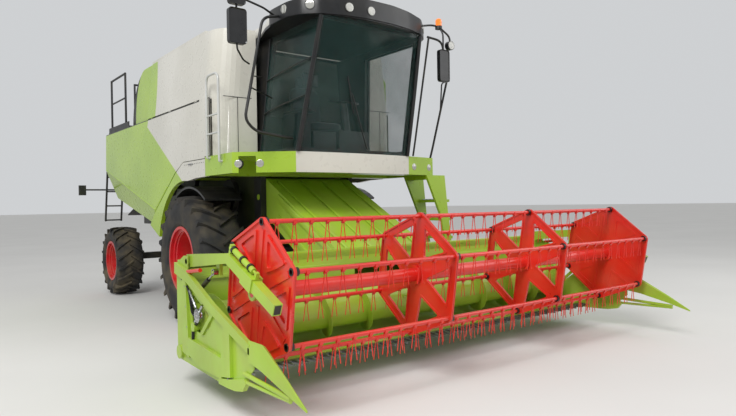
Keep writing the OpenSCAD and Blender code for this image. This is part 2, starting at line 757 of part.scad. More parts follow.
// A cylinder barrel of radius r and length len with an eye round the pin at p
module cylinder_barrel(p, q, r, len, x, pin_r, eye_w, eye_r) {
    d = (q - p) / norm(q - p);
    a = [x, p[0], p[1]];
    u = [0, d[0], d[1]];
    difference() {
        union() {
            rod(a + u * eye_r * 0.5, a + u * (eye_r + 50), min(r, eye_w) * 0.8);
            rod(a + u * (eye_r + 32), a + u * len, r);
            bar_x(x - eye_w, x + eye_w, p[0], p[1], eye_r);
        }
        bar_x(x - eye_w - 20, x + eye_w + 20, p[0], p[1], pin_r + fit);
        rod(a + u * (eye_r + 50), a + u * (len + 10), r * 0.75);
    }
}

// Its rod from start to the eye round the pin at q, with a piston that fills the bore
module cylinder_rod(p, q, r, bore, start, x, pin_r, eye_w, eye_r) {
    d = (q - p) / norm(q - p);
    u = [0, d[0], d[1]];
    a = [x, p[0], p[1]] + u * start;
    difference() {
        union() {
            rod(a, [x, q[0], q[1]], r);
            rod(a, a + u * bore * 2, bore - fit);
            bar_x(x - eye_w, x + eye_w, q[0], q[1], eye_r);
        }
        bar_x(x - eye_w - 20, x + eye_w + 20, q[0], q[1], pin_r + eye_play);
    }
}

module lift_barrels() {
    color(black) both() cylinder_barrel(lift_base, lift_eye, lift_barrel_r, lift_barrel_len, lift_x, 20, 40, 45);
}

module reel_lift_barrels() {
    color(black) both() cylinder_barrel(reel_cyl_base, reel_cyl_eye, 20, 330, reel_cyl_x, 12, 19, 22);
}

module reel_lift_rods() {
    color(steel) both() cylinder_rod(reel_cyl_base, reel_cyl_eye, 10, 15, 110, reel_cyl_x, 12, 19, 28);
}

module lift_rods() {
    color(steel) both() cylinder_rod(lift_base, lift_eye, lift_rod_r, lift_barrel_r * 0.75, 420, lift_x, 20, 40, 46);
}

// Header
module header_frame() {
    floor_line = concat(
        [[header_back_y, auger_z]],
        arc(auger_y, auger_z, trough_r, -10, -90, 10),
        [[knife_y, header_low_z + 25], [knife_y, header_low_z], [auger_y, auger_z - trough_r - sheet]],
        arc(auger_y, auger_z, trough_r + sheet, -85, -30, 8),
        [[header_back_y + wall_t, header_low_z + 60], [header_back_y + wall_t, auger_z]]
    );
    color(green) difference() {
        union() {
            box([-header_x + fit, header_back_y, auger_z - 10], [header_x - fit, header_back_y + wall_t, header_top_z]);
            slab(floor_line, -header_x + fit, 2 * header_x - 2 * fit);
            box([-header_x + fit, header_back_y, header_top_z - 10], [header_x - fit, header_back_y + 120, header_top_z + 90]);
        }
        box([-core_x + 60, header_back_y - 10, auger_z - 200], [core_x - 60, header_back_y + 300, header_top_z - 80]);
    }
}

module header_sides() {
    wall = [
        [header_back_y + 120, header_top_z + 60], [header_back_y + 120, header_low_z - 10], [-3700, header_low_z - 40], [-4070, 290],
        [tip_y, 320], [-4900, 370], [-4330, 630], [-4150, 610], [-3460, 810], [-3060, 990], [arm_pivot[0] - 50, arm_pivot[1] + 60],
        [arm_pivot[0] + 60, arm_pivot[1] + 60]
    ];
    color(green) both() difference() {
        union() {
            slab(wall, header_x, wall_t);
            bar_x(arm_x - arm_t / 2 - 10, header_x + 10, arm_pivot[0], arm_pivot[1], arm_pin_r);
            bar_x(reel_cyl_x - 25, header_x + 10, reel_cyl_base[0], reel_cyl_base[1], 12);
        }
        bar_x(header_x - 10, header_x + wall_t + 10, auger_y, auger_z, 40 + fit);
    }
}

module knife_bar() {
    guard_pitch = 76.2 * 2;
    n = floor((2 * header_x - 200) / guard_pitch);
    comb = concat(
        [[-header_x + 20, 0]],
        [for (i = [0 : n - 1]) let (x = -n * guard_pitch / 2 + i * guard_pitch) each [[x + 50, 0], [x + 70, -130], [x + 82, -130], [x + 102, 0]]],
        [[header_x - 20, 0], [header_x - 20, 50], [-header_x + 20, 50]]
    );
    color(steel) translate([0, knife_y - 50 - fit, header_low_z]) linear_extrude(18) polygon(comb);
}

module header_auger() {
    color(green) union() {
        bar_x(-header_x + 20, header_x - 20, auger_y, auger_z, auger_tube_r);
        bar_x(-header_x - wall_t, header_x + wall_t, auger_y, auger_z, 40);
        for (s = [-1, 1]) for (i = [0 : 4])
            bar_x(s * (760 + i * 400) - 4, s * (760 + i * 400) + 4, auger_y, auger_z, auger_r);
    }
}

// Reel
// A point l along the straight front part of a reel arm and h above its middle, as [y, z]
arm_d = [-cos(arm_tilt), -sin(arm_tilt)];
arm_u = [arm_d[1], -arm_d[0]];
function on_arm(l, h) = arm_knee + arm_d * l + arm_u * h;

// The outline of a box along the arm from l0 to l1 and from h0 to h1
function arm_box(l0, l1, h0, h1) = [on_arm(l0, h0), on_arm(l0, h1), on_arm(l1, h1), on_arm(l1, h0)];

// A round bar along the arm
module arm_bar(l0, l1, h, r) {
    p = on_arm(l0, h);
    q = on_arm(l1, h);
    rod([arm_x, p[0], p[1]], [arm_x, q[0], q[1]], r);
}

module reel_arms() {
    hw = arm_t / 2;
    top = arm_h / 2;
    outline = [
        arm_pivot + [50, 60], on_arm(0, top), on_arm(arm_len, top), on_arm(arm_len, -top), on_arm(0, -top),
        arm_pivot + [50, -60]
    ];
    color(green) both() difference() {
        union() {
            slab(outline, arm_x - hw, arm_t);
            // Fore-aft cylinder along the top, with its post
            arm_bar(-10, 400, top + 45, 24);
            slab(arm_box(-15, 15, 0, top + 75), arm_x - 18, 36);
            // Lug for the lift cylinder
            box([arm_x - hw + 2, reel_cyl_eye[0] - 35, reel_cyl_eye[1] - 30], [reel_cyl_x - 26, reel_cyl_eye[0] + 35, reel_cyl_eye[1] + 80]);
            bar_x(reel_cyl_x - 40, reel_cyl_x + 22, reel_cyl_eye[0], reel_cyl_eye[1], 12);
        }
        bar_x(arm_x - 60, arm_x + 60, arm_pivot[0], arm_pivot[1], arm_pin_r + fit);
        arm_bar(25, 410, top + 45, 11 + fit);
    }
}

module reel_sliders() {
    hw = arm_t / 2;
    top = arm_h / 2;
    along = reel_along;
    plate_x = arm_x - hw - 34;
    color(green) both() difference() {
        union() {
            slab(arm_box(along - 70, along + 110, -top - 14, top + 14), arm_x - hw - 14, arm_t + 24);
            // Plate that holds the reel's bearing
            translate([plate_x, 0, 0]) rotate([90, 0, 90]) linear_extrude(30) difference() {
                union() {
                    polygon([on_arm(along - 60, top - 10), on_arm(along + 60, top - 10), [reel_y - 62, reel_z], [reel_y + 62, reel_z]]);
                    translate([reel_y, reel_z]) circle(r = 62);
                }
                translate([reel_y, reel_z]) circle(r = reel_pin_r + fit);
            }
            // Rod of the fore-aft cylinder
            slab(arm_box(along + 80, along + 110, top, top + 62), arm_x - 14, 28);
            arm_bar(60, along + 95, top + 45, 11);
        }
        slab(arm_box(-400, 1200, -top - fit, top + fit), arm_x - hw - fit, arm_t + 2 * fit);
    }
}

module hexagon(r) {
    circle(r = r, $fn = 6);
}

module reel_frame() {
    color(red) union() {
        bar_x(-disc_x, disc_x, reel_y, reel_z, reel_tube_r);
        bar_x(-arm_x + arm_t / 2 + 5, arm_x - arm_t / 2 - 5, reel_y, reel_z, reel_pin_r);
        for (x = [-disc_x, disc_x - disc_t])
            translate([x, reel_y, reel_z]) rotate([0, 90, 0]) rotate([0, 0, 9]) linear_extrude(disc_t) difference() {
                hexagon(reel_r + 45);
                for (i = [0 : 5]) rotate(60 * i) translate([reel_r, 0]) circle(r = tine_bar_r + fit);
            }
        for (x = [-spider_x, spider_x])
            translate([x - disc_t / 2, reel_y, reel_z]) rotate([0, 90, 0]) rotate([0, 0, 9]) linear_extrude(disc_t) difference() {
                hexagon(reel_r + 45);
                for (i = [0 : 5]) rotate(60 * i) translate([reel_r, 0]) circle(r = tine_bar_r + fit);
                for (i = [0 : 5]) rotate(60 * i + 30) polygon([[150, 0], [430, 170], [430, -170]]);
            }
    }
}

module tine_bar(i) {
    // rotate([0, 90, 0]) turns the disc's plan so that its angle runs from -Z; place matches the bores
    a = 9 + 60 * (i - 1);
    y = reel_y + reel_r * sin(a);
    z = reel_z - reel_r * cos(a);
    n = floor((2 * disc_x - 200) / tine_pitch);
    color(red) union() {
        bar_x(-disc_x - 4, disc_x + 4, y, z, tine_bar_r);
        for (k = [0 : n]) let (x = -n * tine_pitch / 2 + k * tine_pitch)
            if (abs(abs(x) - spider_x) > 40)
                for (s = [-1, 1]) box([x + s * 20 - 4, y - 4, z - tine_len], [x + s * 20 + 4, y + 4, z - tine_bar_r + 3]);
    }
}

chassis_frame();
axles();
threshing_housing();
side_drives();
fender_panels();
mudguards();
grain_tank();
unload_elbow();
engine_hood();
engine_block();
radiator_screen();
service_deck();
straw_hood();
straw_chopper();
cab_platform();
front_cowl();
lamps();
cab_frame();
cab_glass();
cab_roof();
roof_visor();
cab_interior();
mirrors_and_rails();
cab_door();
door_glass();
boarding_ladder();
side_panel_right();
side_panel_left();
tank_cover_right();
tank_cover_left();
unload_tube();
front_tyre_right();
front_rim_right();
front_tyre_left();
front_rim_left();
knuckle_right();
knuckle_left();
rear_tyre_right();
rear_rim_right();
rear_tyre_left();
rear_rim_left();
feeder_house();
header_frame();
header_sides();
knife_bar();
header_auger();
lift_barrels();
lift_rods();
reel_lift_barrels();
reel_lift_rods();
reel_arms();
reel_sliders();
reel_frame();
tine_bar(1);  // tine_bar_1
tine_bar(2);  // tine_bar_2
tine_bar(3);  // tine_bar_3
tine_bar(4);  // tine_bar_4
tine_bar(5);  // tine_bar_5
tine_bar(6);  // tine_bar_6
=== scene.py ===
import json
import math

import bmesh
import bpy
from mathutils import Matrix, Vector
from mathutils.geometry import tessellate_polygon


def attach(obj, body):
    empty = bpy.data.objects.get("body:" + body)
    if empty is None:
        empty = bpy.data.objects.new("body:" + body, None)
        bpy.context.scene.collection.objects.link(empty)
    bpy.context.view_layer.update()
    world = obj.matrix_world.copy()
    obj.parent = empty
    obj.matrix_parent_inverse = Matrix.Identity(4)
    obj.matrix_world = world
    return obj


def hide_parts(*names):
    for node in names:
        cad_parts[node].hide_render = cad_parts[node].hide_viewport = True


bpy.ops.wm.read_factory_settings(use_empty=True)
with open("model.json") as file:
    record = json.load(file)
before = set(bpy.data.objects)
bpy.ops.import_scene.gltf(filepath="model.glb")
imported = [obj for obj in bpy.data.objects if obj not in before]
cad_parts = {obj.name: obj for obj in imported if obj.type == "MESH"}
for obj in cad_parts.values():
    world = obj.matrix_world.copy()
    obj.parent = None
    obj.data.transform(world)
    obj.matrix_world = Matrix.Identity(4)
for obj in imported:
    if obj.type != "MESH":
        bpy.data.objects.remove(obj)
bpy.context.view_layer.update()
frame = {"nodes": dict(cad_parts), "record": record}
nodes = frame["nodes"]
scene = bpy.context.scene


# Materials. The size of each pattern is in millimetres, and a place on the machine is in metres.
def linear(code):
    """An sRGB colour code as linear red, green, blue and full alpha."""
    parts = [int(code[i : i + 2], 16) / 255 for i in (1, 3, 5)]
    return tuple(((c + 0.055) / 1.055) ** 2.4 if c > 0.04045 else c / 12.92 for c in parts) + (1,)


def fill(tree, node, inputs):
    """Sets or links a node's inputs, given by name, by number, or in their order as a list."""
    for key, value in inputs.items() if isinstance(inputs, dict) else enumerate(inputs):
        if isinstance(value, bpy.types.NodeSocket):
            tree.links.new(value, node.inputs[key])
        else:
            node.inputs[key].default_value = value


def add(tree, kind, inputs, output=0, **settings):
    """Adds a node with its settings and inputs, and returns one of its outputs."""
    node = tree.nodes.new(kind)
    for key, value in settings.items():
        setattr(node, key, value)
    fill(tree, node, inputs)
    return node.outputs[output]


def start(name, **fixed):
    """A new material with some of its shader's inputs set, and the place of a point on the machine."""
    mat = bpy.data.materials.new(name)
    mat.use_nodes = True
    tree = mat.node_tree
    shader = tree.nodes["Principled BSDF"]
    fill(tree, shader, {key.replace("_", " "): value for key, value in fixed.items()})
    return mat, tree, shader, add(tree, "ShaderNodeTexCoord", {}, "Object")


def per_metre(size):
    """How many patches, grains or holes of a size fit in a metre."""
    return 1000 / size


def two_shades(tree, share, tone, deep):
    """A finish between its light tone and its deep one."""
    return add(tree, "ShaderNodeMix", {0: share, 6: linear(tone), 7: linear(deep)}, 2, data_type="RGBA")


def clouds(tree, place, size, detail=4.0, low=0.3, high=0.7):
    """Soft patches from 0 to 1, as weather and handling leave them on a finish."""
    noise = {"Vector": place, "Scale": per_metre(size), "Detail": detail}
    cloud = add(tree, "ShaderNodeTexNoise", noise, "Fac")
    return add(tree, "ShaderNodeMapRange", [cloud, low, high])


def grain(tree, place, size, strength, depth, detail=2.0):
    """The small unevenness of a surface."""
    noise = {"Vector": place, "Scale": per_metre(size), "Detail": detail}
    height = add(tree, "ShaderNodeTexNoise", noise, "Fac")
    return add(tree, "ShaderNodeBump", {"Height": height, "Strength": strength, "Distance": depth / 1000})


DUST = linear("#a8966f")


def dusted(tree, shader, place, colour, rough, amount, worn=0.75):
    """Straw dust: thin everywhere in drifts of 25 cm, and it dulls the gloss from rough towards worn."""
    height = add(tree, "ShaderNodeSeparateXYZ", [place], "Z")
    normal = add(tree, "ShaderNodeNewGeometry", {}, "Normal")
    looks_up = add(tree, "ShaderNodeSeparateXYZ", [normal], "Z")
    # It lies thickest on faces that look up, and thins to a quarter from near the ground up to 1.9 m
    flat = add(tree, "ShaderNodeMapRange", [looks_up, 0.5, 1.0, 0.6, 1.5])
    low_down = add(tree, "ShaderNodeMapRange", [height, 0.2, 1.9, 1.0, 0.25])
    drifts = clouds(tree, place, 250, 2.0, 0.4, 0.8)
    share = amount
    for part in (flat, low_down, drifts):
        share = add(tree, "ShaderNodeMath", [share, part], operation="MULTIPLY")
    # Where it was wiped or rained on, the gloss differs a little in patches of 8 cm
    patch = add(tree, "ShaderNodeMapRange", [clouds(tree, place, 83.3, 3.0), 0.0, 1.0, -0.03, 0.05])
    dulled = add(tree, "ShaderNodeMapRange", [share, 0.0, 0.5, rough, worn])
    fill(tree, shader, {
        "Base Color": add(tree, "ShaderNodeMix", {0: share, 6: colour, 7: DUST}, 2, data_type="RGBA"),
        "Roughness": add(tree, "ShaderNodeMath", [dulled, patch], operation="ADD"),
    })


MASKED_EDGE = 0.003


def masked_line(tree, place, y):
    """0 in front of the line at y, and 1 behind it."""
    here = add(tree, "ShaderNodeSeparateXYZ", [place], "Y")
    behind = add(tree, "ShaderNodeMath", [here, y], operation="SUBTRACT")
    return add(tree, "ShaderNodeMapRange", [behind, -MASKED_EDGE / 2, MASKED_EDGE / 2])


def panel_line(tree, place):
    """On the side panels, white in front of it: up and back, then a little forward."""
    height = add(tree, "ShaderNodeSeparateXYZ", [place], "Z")
    lines = []
    # A point on each stretch, and how far back it goes for each metre up
    for y, z, slope in ((0.33, 2.17, 1.6), (1.56, 2.92, -0.5)):
        rise = add(tree, "ShaderNodeMath", [height, slope], operation="MULTIPLY")
        lines.append(add(tree, "ShaderNodeMath", [rise, y - z * slope], operation="ADD"))
    return masked_line(tree, place, add(tree, "ShaderNodeMath", lines, operation="MINIMUM"))


def tank_line(tree, place):
    """On the tank, green behind it: bowed back above and below its middle height."""
    middle_y, middle_z, bend = 1.16, 3.05, 0.16
    height = add(tree, "ShaderNodeSeparateXYZ", [place], "Z")
    up = add(tree, "ShaderNodeMath", [height, middle_z], operation="SUBTRACT")
    square = add(tree, "ShaderNodeMath", [up, up], operation="MULTIPLY")
    bowed = add(tree, "ShaderNodeMath", [square, bend], operation="MULTIPLY")
    return masked_line(tree, place, add(tree, "ShaderNodeMath", [bowed, middle_y], operation="ADD"))


def enamel(name, tone, deep, rough=0.28, coat=0.45, dust=0.3, second=None, line=None):
    """Two-pack enamel, sprayed: even gloss with a faint orange peel, bleached in patches of 90 cm.
    Where a second colour is given, line gives how much of it shows at a place."""
    mat, tree, shader, place = start(name, Coat_Weight=coat, Coat_Roughness=0.08, IOR=1.5)
    bleached = clouds(tree, place, 909, 3.0, 0.35, 0.65)
    colour = two_shades(tree, bleached, tone, deep)
    if second:
        both = {0: line(tree, place), 6: colour, 7: two_shades(tree, bleached, *second)}
        colour = add(tree, "ShaderNodeMix", both, 2, data_type="RGBA")
    dusted(tree, shader, place, colour, rough, dust)
    # The real peel is 4 mm across, and it is drawn nearly twice as coarse so that it shows
    fill(tree, shader, {"Normal": grain(tree, place, 7.7, 0.01, 0.4)})
    return mat


def black_finish(name, tone, rough, dust=0.35, fine=4.55):
    """Chassis paint or moulded ABS: black and satin, with a grain under 1 mm that is drawn coarser."""
    mat, tree, shader, place = start(name, IOR=1.5)
    colour = two_shades(tree, clouds(tree, place, 333), tone, "#1d1e20")
    dusted(tree, shader, place, colour, rough, dust, 0.85)
    fill(tree, shader, {"Normal": grain(tree, place, fine, 0.15, 0.8)})
    return mat


def tyre_rubber(name):
    """Vulcanised rubber filled with carbon black: matt, uneven by 17 mm, browned in patches by soil."""
    mat, tree, shader, place = start(name, IOR=1.5)
    colour = two_shades(tree, clouds(tree, place, 200, 6.0), "#19191b", "#282726")
    dusted(tree, shader, place, colour, 0.72, 0.55, 0.92)
    fill(tree, shader, {"Normal": grain(tree, place, 16.67, 0.3, 2, 6.0)})
    return mat


def drawn_metal(name, tone, rough, streak):
    """Ground or plated steel: bright, with streaks 25 cm long along X, drawn coarser than a grinder's."""
    mat, tree, shader, place = start(name, Metallic=1.0)
    scales = (per_metre(250), per_metre(streak), per_metre(streak))
    stretched = add(tree, "ShaderNodeMapping", {"Vector": place, "Scale": scales})
    streaks = clouds(tree, stretched, 1000, 3.0)
    fill(tree, shader, {
        "Base Color": two_shades(tree, streaks, tone, "#6d6f70"),
        "Roughness": add(tree, "ShaderNodeMapRange", [streaks, 0.0, 1.0, rough, rough + 0.25]),
    })
    return mat


def cab_glass(name):
    """Laminated glass: thin teal tint, seen through, with a film of dust in clouds of 60 cm."""
    mat, tree, shader, place = start(name, IOR=1.5, Specular_IOR_Level=0.6)
    film = clouds(tree, place, 625, 2.0, 0.35, 0.75)
    fill(tree, shader, {
        "Base Color": two_shades(tree, film, "#173a37", "#33534e"),
        "Roughness": add(tree, "ShaderNodeMapRange", [film, 0.0, 1.0, 0.03, 0.16]),
        "Alpha": add(tree, "ShaderNodeMapRange", [film, 0.0, 1.0, 0.2, 0.32]),
    })
    return mat


def wave_scale(size, pace):
    """A wave texture's scale for waves of a size; its pace is 20 along an axis and 10 on the diagonal."""
    return 2 * math.pi * per_metre(size) / pace


def lamp_lens(name, tone, deep, metallic, glow=0.0):
    """Pressed polycarbonate lens over a bright bowl: fine upright flutes 9 mm wide."""
    mat, tree, shader, place = start(name, Metallic=metallic, Roughness=0.12, Coat_Weight=0.8, IOR=1.5)
    wave = {"Vector": place, "Scale": wave_scale(9.24, 20), "Distortion": 0.4}
    flutes = add(tree, "ShaderNodeTexWave", wave, "Fac", wave_type="BANDS", bands_direction="X")
    colour = two_shades(tree, flutes, tone, deep)
    bump = add(tree, "ShaderNodeBump", {"Height": flutes, "Strength": 0.4, "Distance": 0.003})
    fill(tree, shader, {"Base Color": colour, "Normal": bump})
    if glow:
        fill(tree, shader, {"Emission Color": colour, "Emission Strength": glow})
    return mat


def dust_screen(name):
    """Perforated steel sheet, painted black: holes of 12 mm, drawn 30 mm apart so that they show, with
    painted shade in the holes for the dark space behind.
    """
    mat, tree, shader, place = start(name, Metallic=0.3)
    cells = {"Vector": place, "Scale": per_metre(30.3), "Randomness": 0.12}
    from_hole = add(tree, "ShaderNodeTexVoronoi", cells, "Distance", feature="F1")
    sheet = add(tree, "ShaderNodeMapRange", [from_hole, 0.28, 0.4])
    # Near-black painted shade in the holes, and dark grey on the sheet between them
    dusted(tree, shader, place, two_shades(tree, sheet, "#060607", "#4a4b49"), 0.5, 0.4, 0.8)
    bump = add(tree, "ShaderNodeBump", {"Height": sheet, "Strength": 0.6, "Distance": 0.004})
    fill(tree, shader, {"Normal": bump})
    return mat


def seat_cloth(name):
    """Woven polyester: charcoal yarn in a weave of 6 mm, drawn twice as coarse so that it shows."""
    mat, tree, shader, place = start(name, Sheen_Weight=0.4)
    threads = {"Vector": place, "Scale": wave_scale(12.57, 10)}
    weave = add(tree, "ShaderNodeTexWave", threads, "Fac", bands_direction="DIAGONAL")
    fill(tree, shader, {
        "Base Color": two_shades(tree, weave, "#2a2b2d", "#3a3b3e"),
        "Roughness": add(tree, "ShaderNodeMapRange", [weave, 0.0, 1.0, 0.8, 0.95]),
        "Normal": add(tree, "ShaderNodeBump", {"Height": weave, "Strength": 0.4, "Distance": 0.002}),
    })
    return mat


GREEN = ("#a2c22d", "#95b625")
WHITE = ("#d3d0c6", "#c8c5ba")
SECOND_GREEN = {"second": GREEN, "dust": 0.12}
MATS = {
    # Fresh green of the hood and tank: bright and glossy
    "green_paint": enamel("sprayed_green_enamel", *GREEN),
    # The same green on the header, scoured by straw: duller, with more dust
    "header_green": enamel("sprayed_green_enamel_worn", "#a5c53a", "#93b22f", 0.34, 0.3, 0.5),
    # Green of the housing between the wheels, darkened to olive as painted shade, with dust on it and hardly
    # any gloss
    "housing_green_painted_shade": enamel("dark_green_enamel_painted_shade_and_dust", "#3d4a1c", "#2c3514", 0.5, 0.1, 0.5),
    # Warm white of the roof, on which little dust shows
    "white_paint": enamel("sprayed_white_enamel", *WHITE, dust=0.12),
    # White and green that meet along a masked line
    "panel_two_tone": enamel("sprayed_white_and_green_panel", *WHITE, **SECOND_GREEN, line=panel_line),
    "tank_two_tone": enamel("sprayed_white_and_green_tank", *WHITE, **SECOND_GREEN, line=tank_line),
    # Red of the reel and its locks, and the darker red of the rims with soil on it
    "red_paint": enamel("sprayed_red_enamel", "#e02a1c", "#cf2016", 0.3, 0.4, 0.25),
    "rim_red": enamel("sprayed_red_rim_enamel", "#cf1f27", "#b9161f", 0.32, 0.35, 0.45),
    # Chassis paint holds dust in its grain, and moulded trim is smoother and blacker
    "black_steel": black_finish("satin_black_chassis_paint", "#161718", 0.42),
    "black_plastic": black_finish("moulded_black_abs", "#0b0c0d", 0.3, 0.12, 3.125),
    # Mild steel polished grey by use, and rods and mirrors with hard bright chrome
    "bare_steel": drawn_metal("ground_steel", "#b4b6b8", 0.28, 3.125),
    "chrome": drawn_metal("hard_chromed_rod", "#d9dbdd", 0.08, 11.11),
    "tyre": tyre_rubber("tyre_rubber"),
    "tinted_glass": cab_glass("laminated_cab_glass"),
    # Clear lens over its bowl, and orange and red lenses that glow a little as daylight falls through
    "lamp_glass": lamp_lens("pressed_lamp_lens", "#d6d5cd", "#8d8d88", 0.55),
    "amber": lamp_lens("amber_beacon_lens", "#ff8a1e", "#f06a0a", 0.0, 0.35),
    "red_lens": lamp_lens("red_tail_lens", "#c01612", "#8f0d0a", 0.0, 0.05),
    "screen": dust_screen("perforated_dust_screen"),
    "seat": seat_cloth("woven_seat_cover"),
    # Pale tube on the right side panel, worn smooth by hands
    "grab_rail": enamel("sprayed_pale_grey_tube", "#c9cac6", "#bcbdb9", 0.3, 0.3, 0.15),
}
slot_of = {s["node"]: s["material_slot"] for s in frame["record"]["subparts"]}
# Pieces of the CAD whose finish isn't the one of their slot's name
FINISH = {
    "grain_tank": "tank_two_tone", "fender_panels": "panel_two_tone", "header_frame": "header_green",
    "feeder_house": "header_green", "reel_arms": "header_green", "reel_sliders": "header_green",
    "lift_rods": "chrome", "reel_lift_rods": "chrome", "radiator_screen": "screen",
    # The threshing housing takes the green that is darkened as painted shade
    "unload_elbow": "green_paint", "threshing_housing": "housing_green_painted_shade",
}
SIDES = ((-1, "right"), (1, "left"))
for _, side in SIDES:
    FINISH["side_panel_" + side] = "panel_two_tone"
    FINISH["front_rim_" + side] = "rim_red"
    FINISH["rear_rim_" + side] = "rim_red"
SMOOTH_UP_TO = 32
for name, obj in nodes.items():
    obj.data.materials.clear()
    obj.data.materials.append(MATS[FINISH.get(name, slot_of[name])])
    obj.data.shade_smooth()
    obj.data.set_sharp_from_angle(angle=math.radians(SMOOTH_UP_TO))

# Shapes, in millimetres in the machine's frame, with angles in degrees
MM = 0.001


def polar(r, a):
    return (r * math.cos(math.radians(a)), r * math.sin(math.radians(a)))


def circle(r, n):
    """n points round a circle of radius r."""
    return [polar(r, 360 * k / n) for k in range(n)]


def turned(points, a):
    c, s = polar(1, a)
    return [(p[0] * c - p[1] * s, p[0] * s + p[1] * c) for p in points]


def rounded(points, r, n=4):
    """An outline or a path with each corner rounded; a path's ends stay."""
    pts = [Vector(p) for p in points]
    closed = len(pts[0]) == 2
    out = []
    for i, p in enumerate(pts):
        if not closed and i in (0, len(pts) - 1):
            out.append(p)
            continue
        a, b = pts[i - 1] - p, pts[(i + 1) % len(pts)] - p
        d = min(r, a.length * 0.45, b.length * 0.45)
        a, b = p + a.normalized() * d, p + b.normalized() * d
        for k in range(n + 1):
            t = k / n
            out.append(a * (1 - t) ** 2 + p * 2 * t * (1 - t) + b * t * t)
    return out


def inset(points, g):
    """Moves each side of an outline inward by g."""
    pts = [Vector(p) for p in points]
    n = len(pts)
    area = sum(pts[i].x * pts[(i + 1) % n].y - pts[(i + 1) % n].x * pts[i].y for i in range(n))
    out = []
    for i in range(n):
        a, b = (pts[i] - pts[i - 1]).normalized(), (pts[(i + 1) % n] - pts[i]).normalized()
        a, b = [Vector((-v.y, v.x)) * (1 if area > 0 else -1) for v in (a, b)]
        out.append(pts[i] + (a + b) * g / (1 + a.dot(b)))
    return out


def at_x(x, points):
    """Places (y, z) points in the plane at x."""
    return [(x, p[0], p[1]) for p in points]


class Shape:
    def __init__(self):
        self.verts, self.faces = [], []

    def prism(self, loops, d):
        """Extrudes a flat outline, given first, with its holes, by the vector d."""
        loops = [[Vector(p) for p in loop] for loop in loops]
        d = Vector(d)
        base = len(self.verts)
        flat = [p for loop in loops for p in loop]
        n = len(flat)
        self.verts += flat + [p + d for p in flat]
        for tri in tessellate_polygon(loops):
            self.faces.append([base + i for i in tri])
            self.faces.append([base + n + i for i in reversed(tri)])
        at = base
        for loop in loops:
            k = len(loop)
            self.faces += [[at + i, at + (i + 1) % k, at + n + (i + 1) % k, at + n + i] for i in range(k)]
            at += k
        return self

    def slab(self, outline, x0, t, holes=()):
        """Extrudes an outline of (y, z) points along X."""
        return self.prism([at_x(x0, loop) for loop in (outline, *holes)], (t, 0, 0))

    def plan(self, outline, z0, t):
        """Extrudes an outline of (x, y) points upward."""
        return self.prism([[(p[0], p[1], z0) for p in outline]], (0, 0, t))

    def box(self, low, high):
        (x0, y0, z0), (x1, y1, z1) = low, high
        return self.plan([(x0, y0), (x1, y0), (x1, y1), (x0, y1)], z0, z1 - z0)

    def rings(self, rings, closed=False):
        """Joins rings of equal length by quads, with a cap at each end unless the last meets the first."""
        base, n, m = len(self.verts), len(rings[0]), len(rings)
        self.verts += [Vector(p) for ring in rings for p in ring]
        for k in range(m if closed else m - 1):
            a, b = base + k * n, base + (k + 1) % m * n
            self.faces += [[a + i, a + (i + 1) % n, b + (i + 1) % n, b + i] for i in range(n)]
        if not closed:
            self.faces.append([base + i for i in range(n)])
            self.faces.append([base + (m - 1) * n + i for i in reversed(range(n))])
        return self

    def tube(self, points, r, bend=60, n=12, end_r=None):
        """A round bar along a path with bent corners; end_r is its radius at the last point."""
        path = rounded(points, bend, 6) if len(points) > 2 else [Vector(p) for p in points]
        last = len(path) - 1
        side, rings = None, []
        for i, p in enumerate(path):
            along = (path[min(i + 1, last)] - path[max(i - 1, 0)]).normalized()
            if side is None:
                side = along.orthogonal().normalized()
            side = (side - along * side.dot(along)).normalized()
            up = along.cross(side)
            here = end_r if end_r and i == last else r
            rings.append([p + side * u + up * v for u, v in circle(here, n)])
        return self.rings(rings)

    def bar(self, x0, x1, y, z, r, n=32):
        """A straight round bar along X."""
        return self.tube([(x0, y, z), (x1, y, z)], r, n=n)

    def spin(self, outline, middle, n):
        """Turns a closed outline of (radius, x) about the X line through middle."""
        x0, y0, z0 = middle
        turns = [[(x + x0, y0 + r * s, z0 + r * c) for r, x in outline] for c, s in circle(1, n)]
        return self.rings(turns, closed=True)

    def ball(self, at, r, n, squash):
        """A ball, lower by the share squash."""
        rings = []
        for i in range(1, n):
            high, out = polar(r, 180 * i / n)
            rings.append([(at[0] + u, at[1] + v, at[2] + high * squash) for u, v in circle(out, n)])
        return self.rings(rings)

    def both(self):
        """Adds the mirror image on the other side."""
        base = len(self.verts)
        self.faces += [[base + i for i in reversed(f)] for f in self.faces]
        self.verts += [Vector((-v.x, v.y, v.z)) for v in self.verts]
        return self

    def mirrored(self, wanted):
        if wanted:
            self.verts = [Vector((-v.x, v.y, v.z)) for v in self.verts]
        return self

    def mesh(self, name):
        mesh = bpy.data.meshes.new(name)
        mesh.from_pydata([v * MM for v in self.verts], [], self.faces)
        bm = bmesh.new()
        bm.from_mesh(mesh)
        bmesh.ops.remove_doubles(bm, verts=bm.verts, dist=1e-5)
        bmesh.ops.recalc_face_normals(bm, faces=bm.faces)
        bm.to_mesh(mesh)
        bm.free()
        return mesh


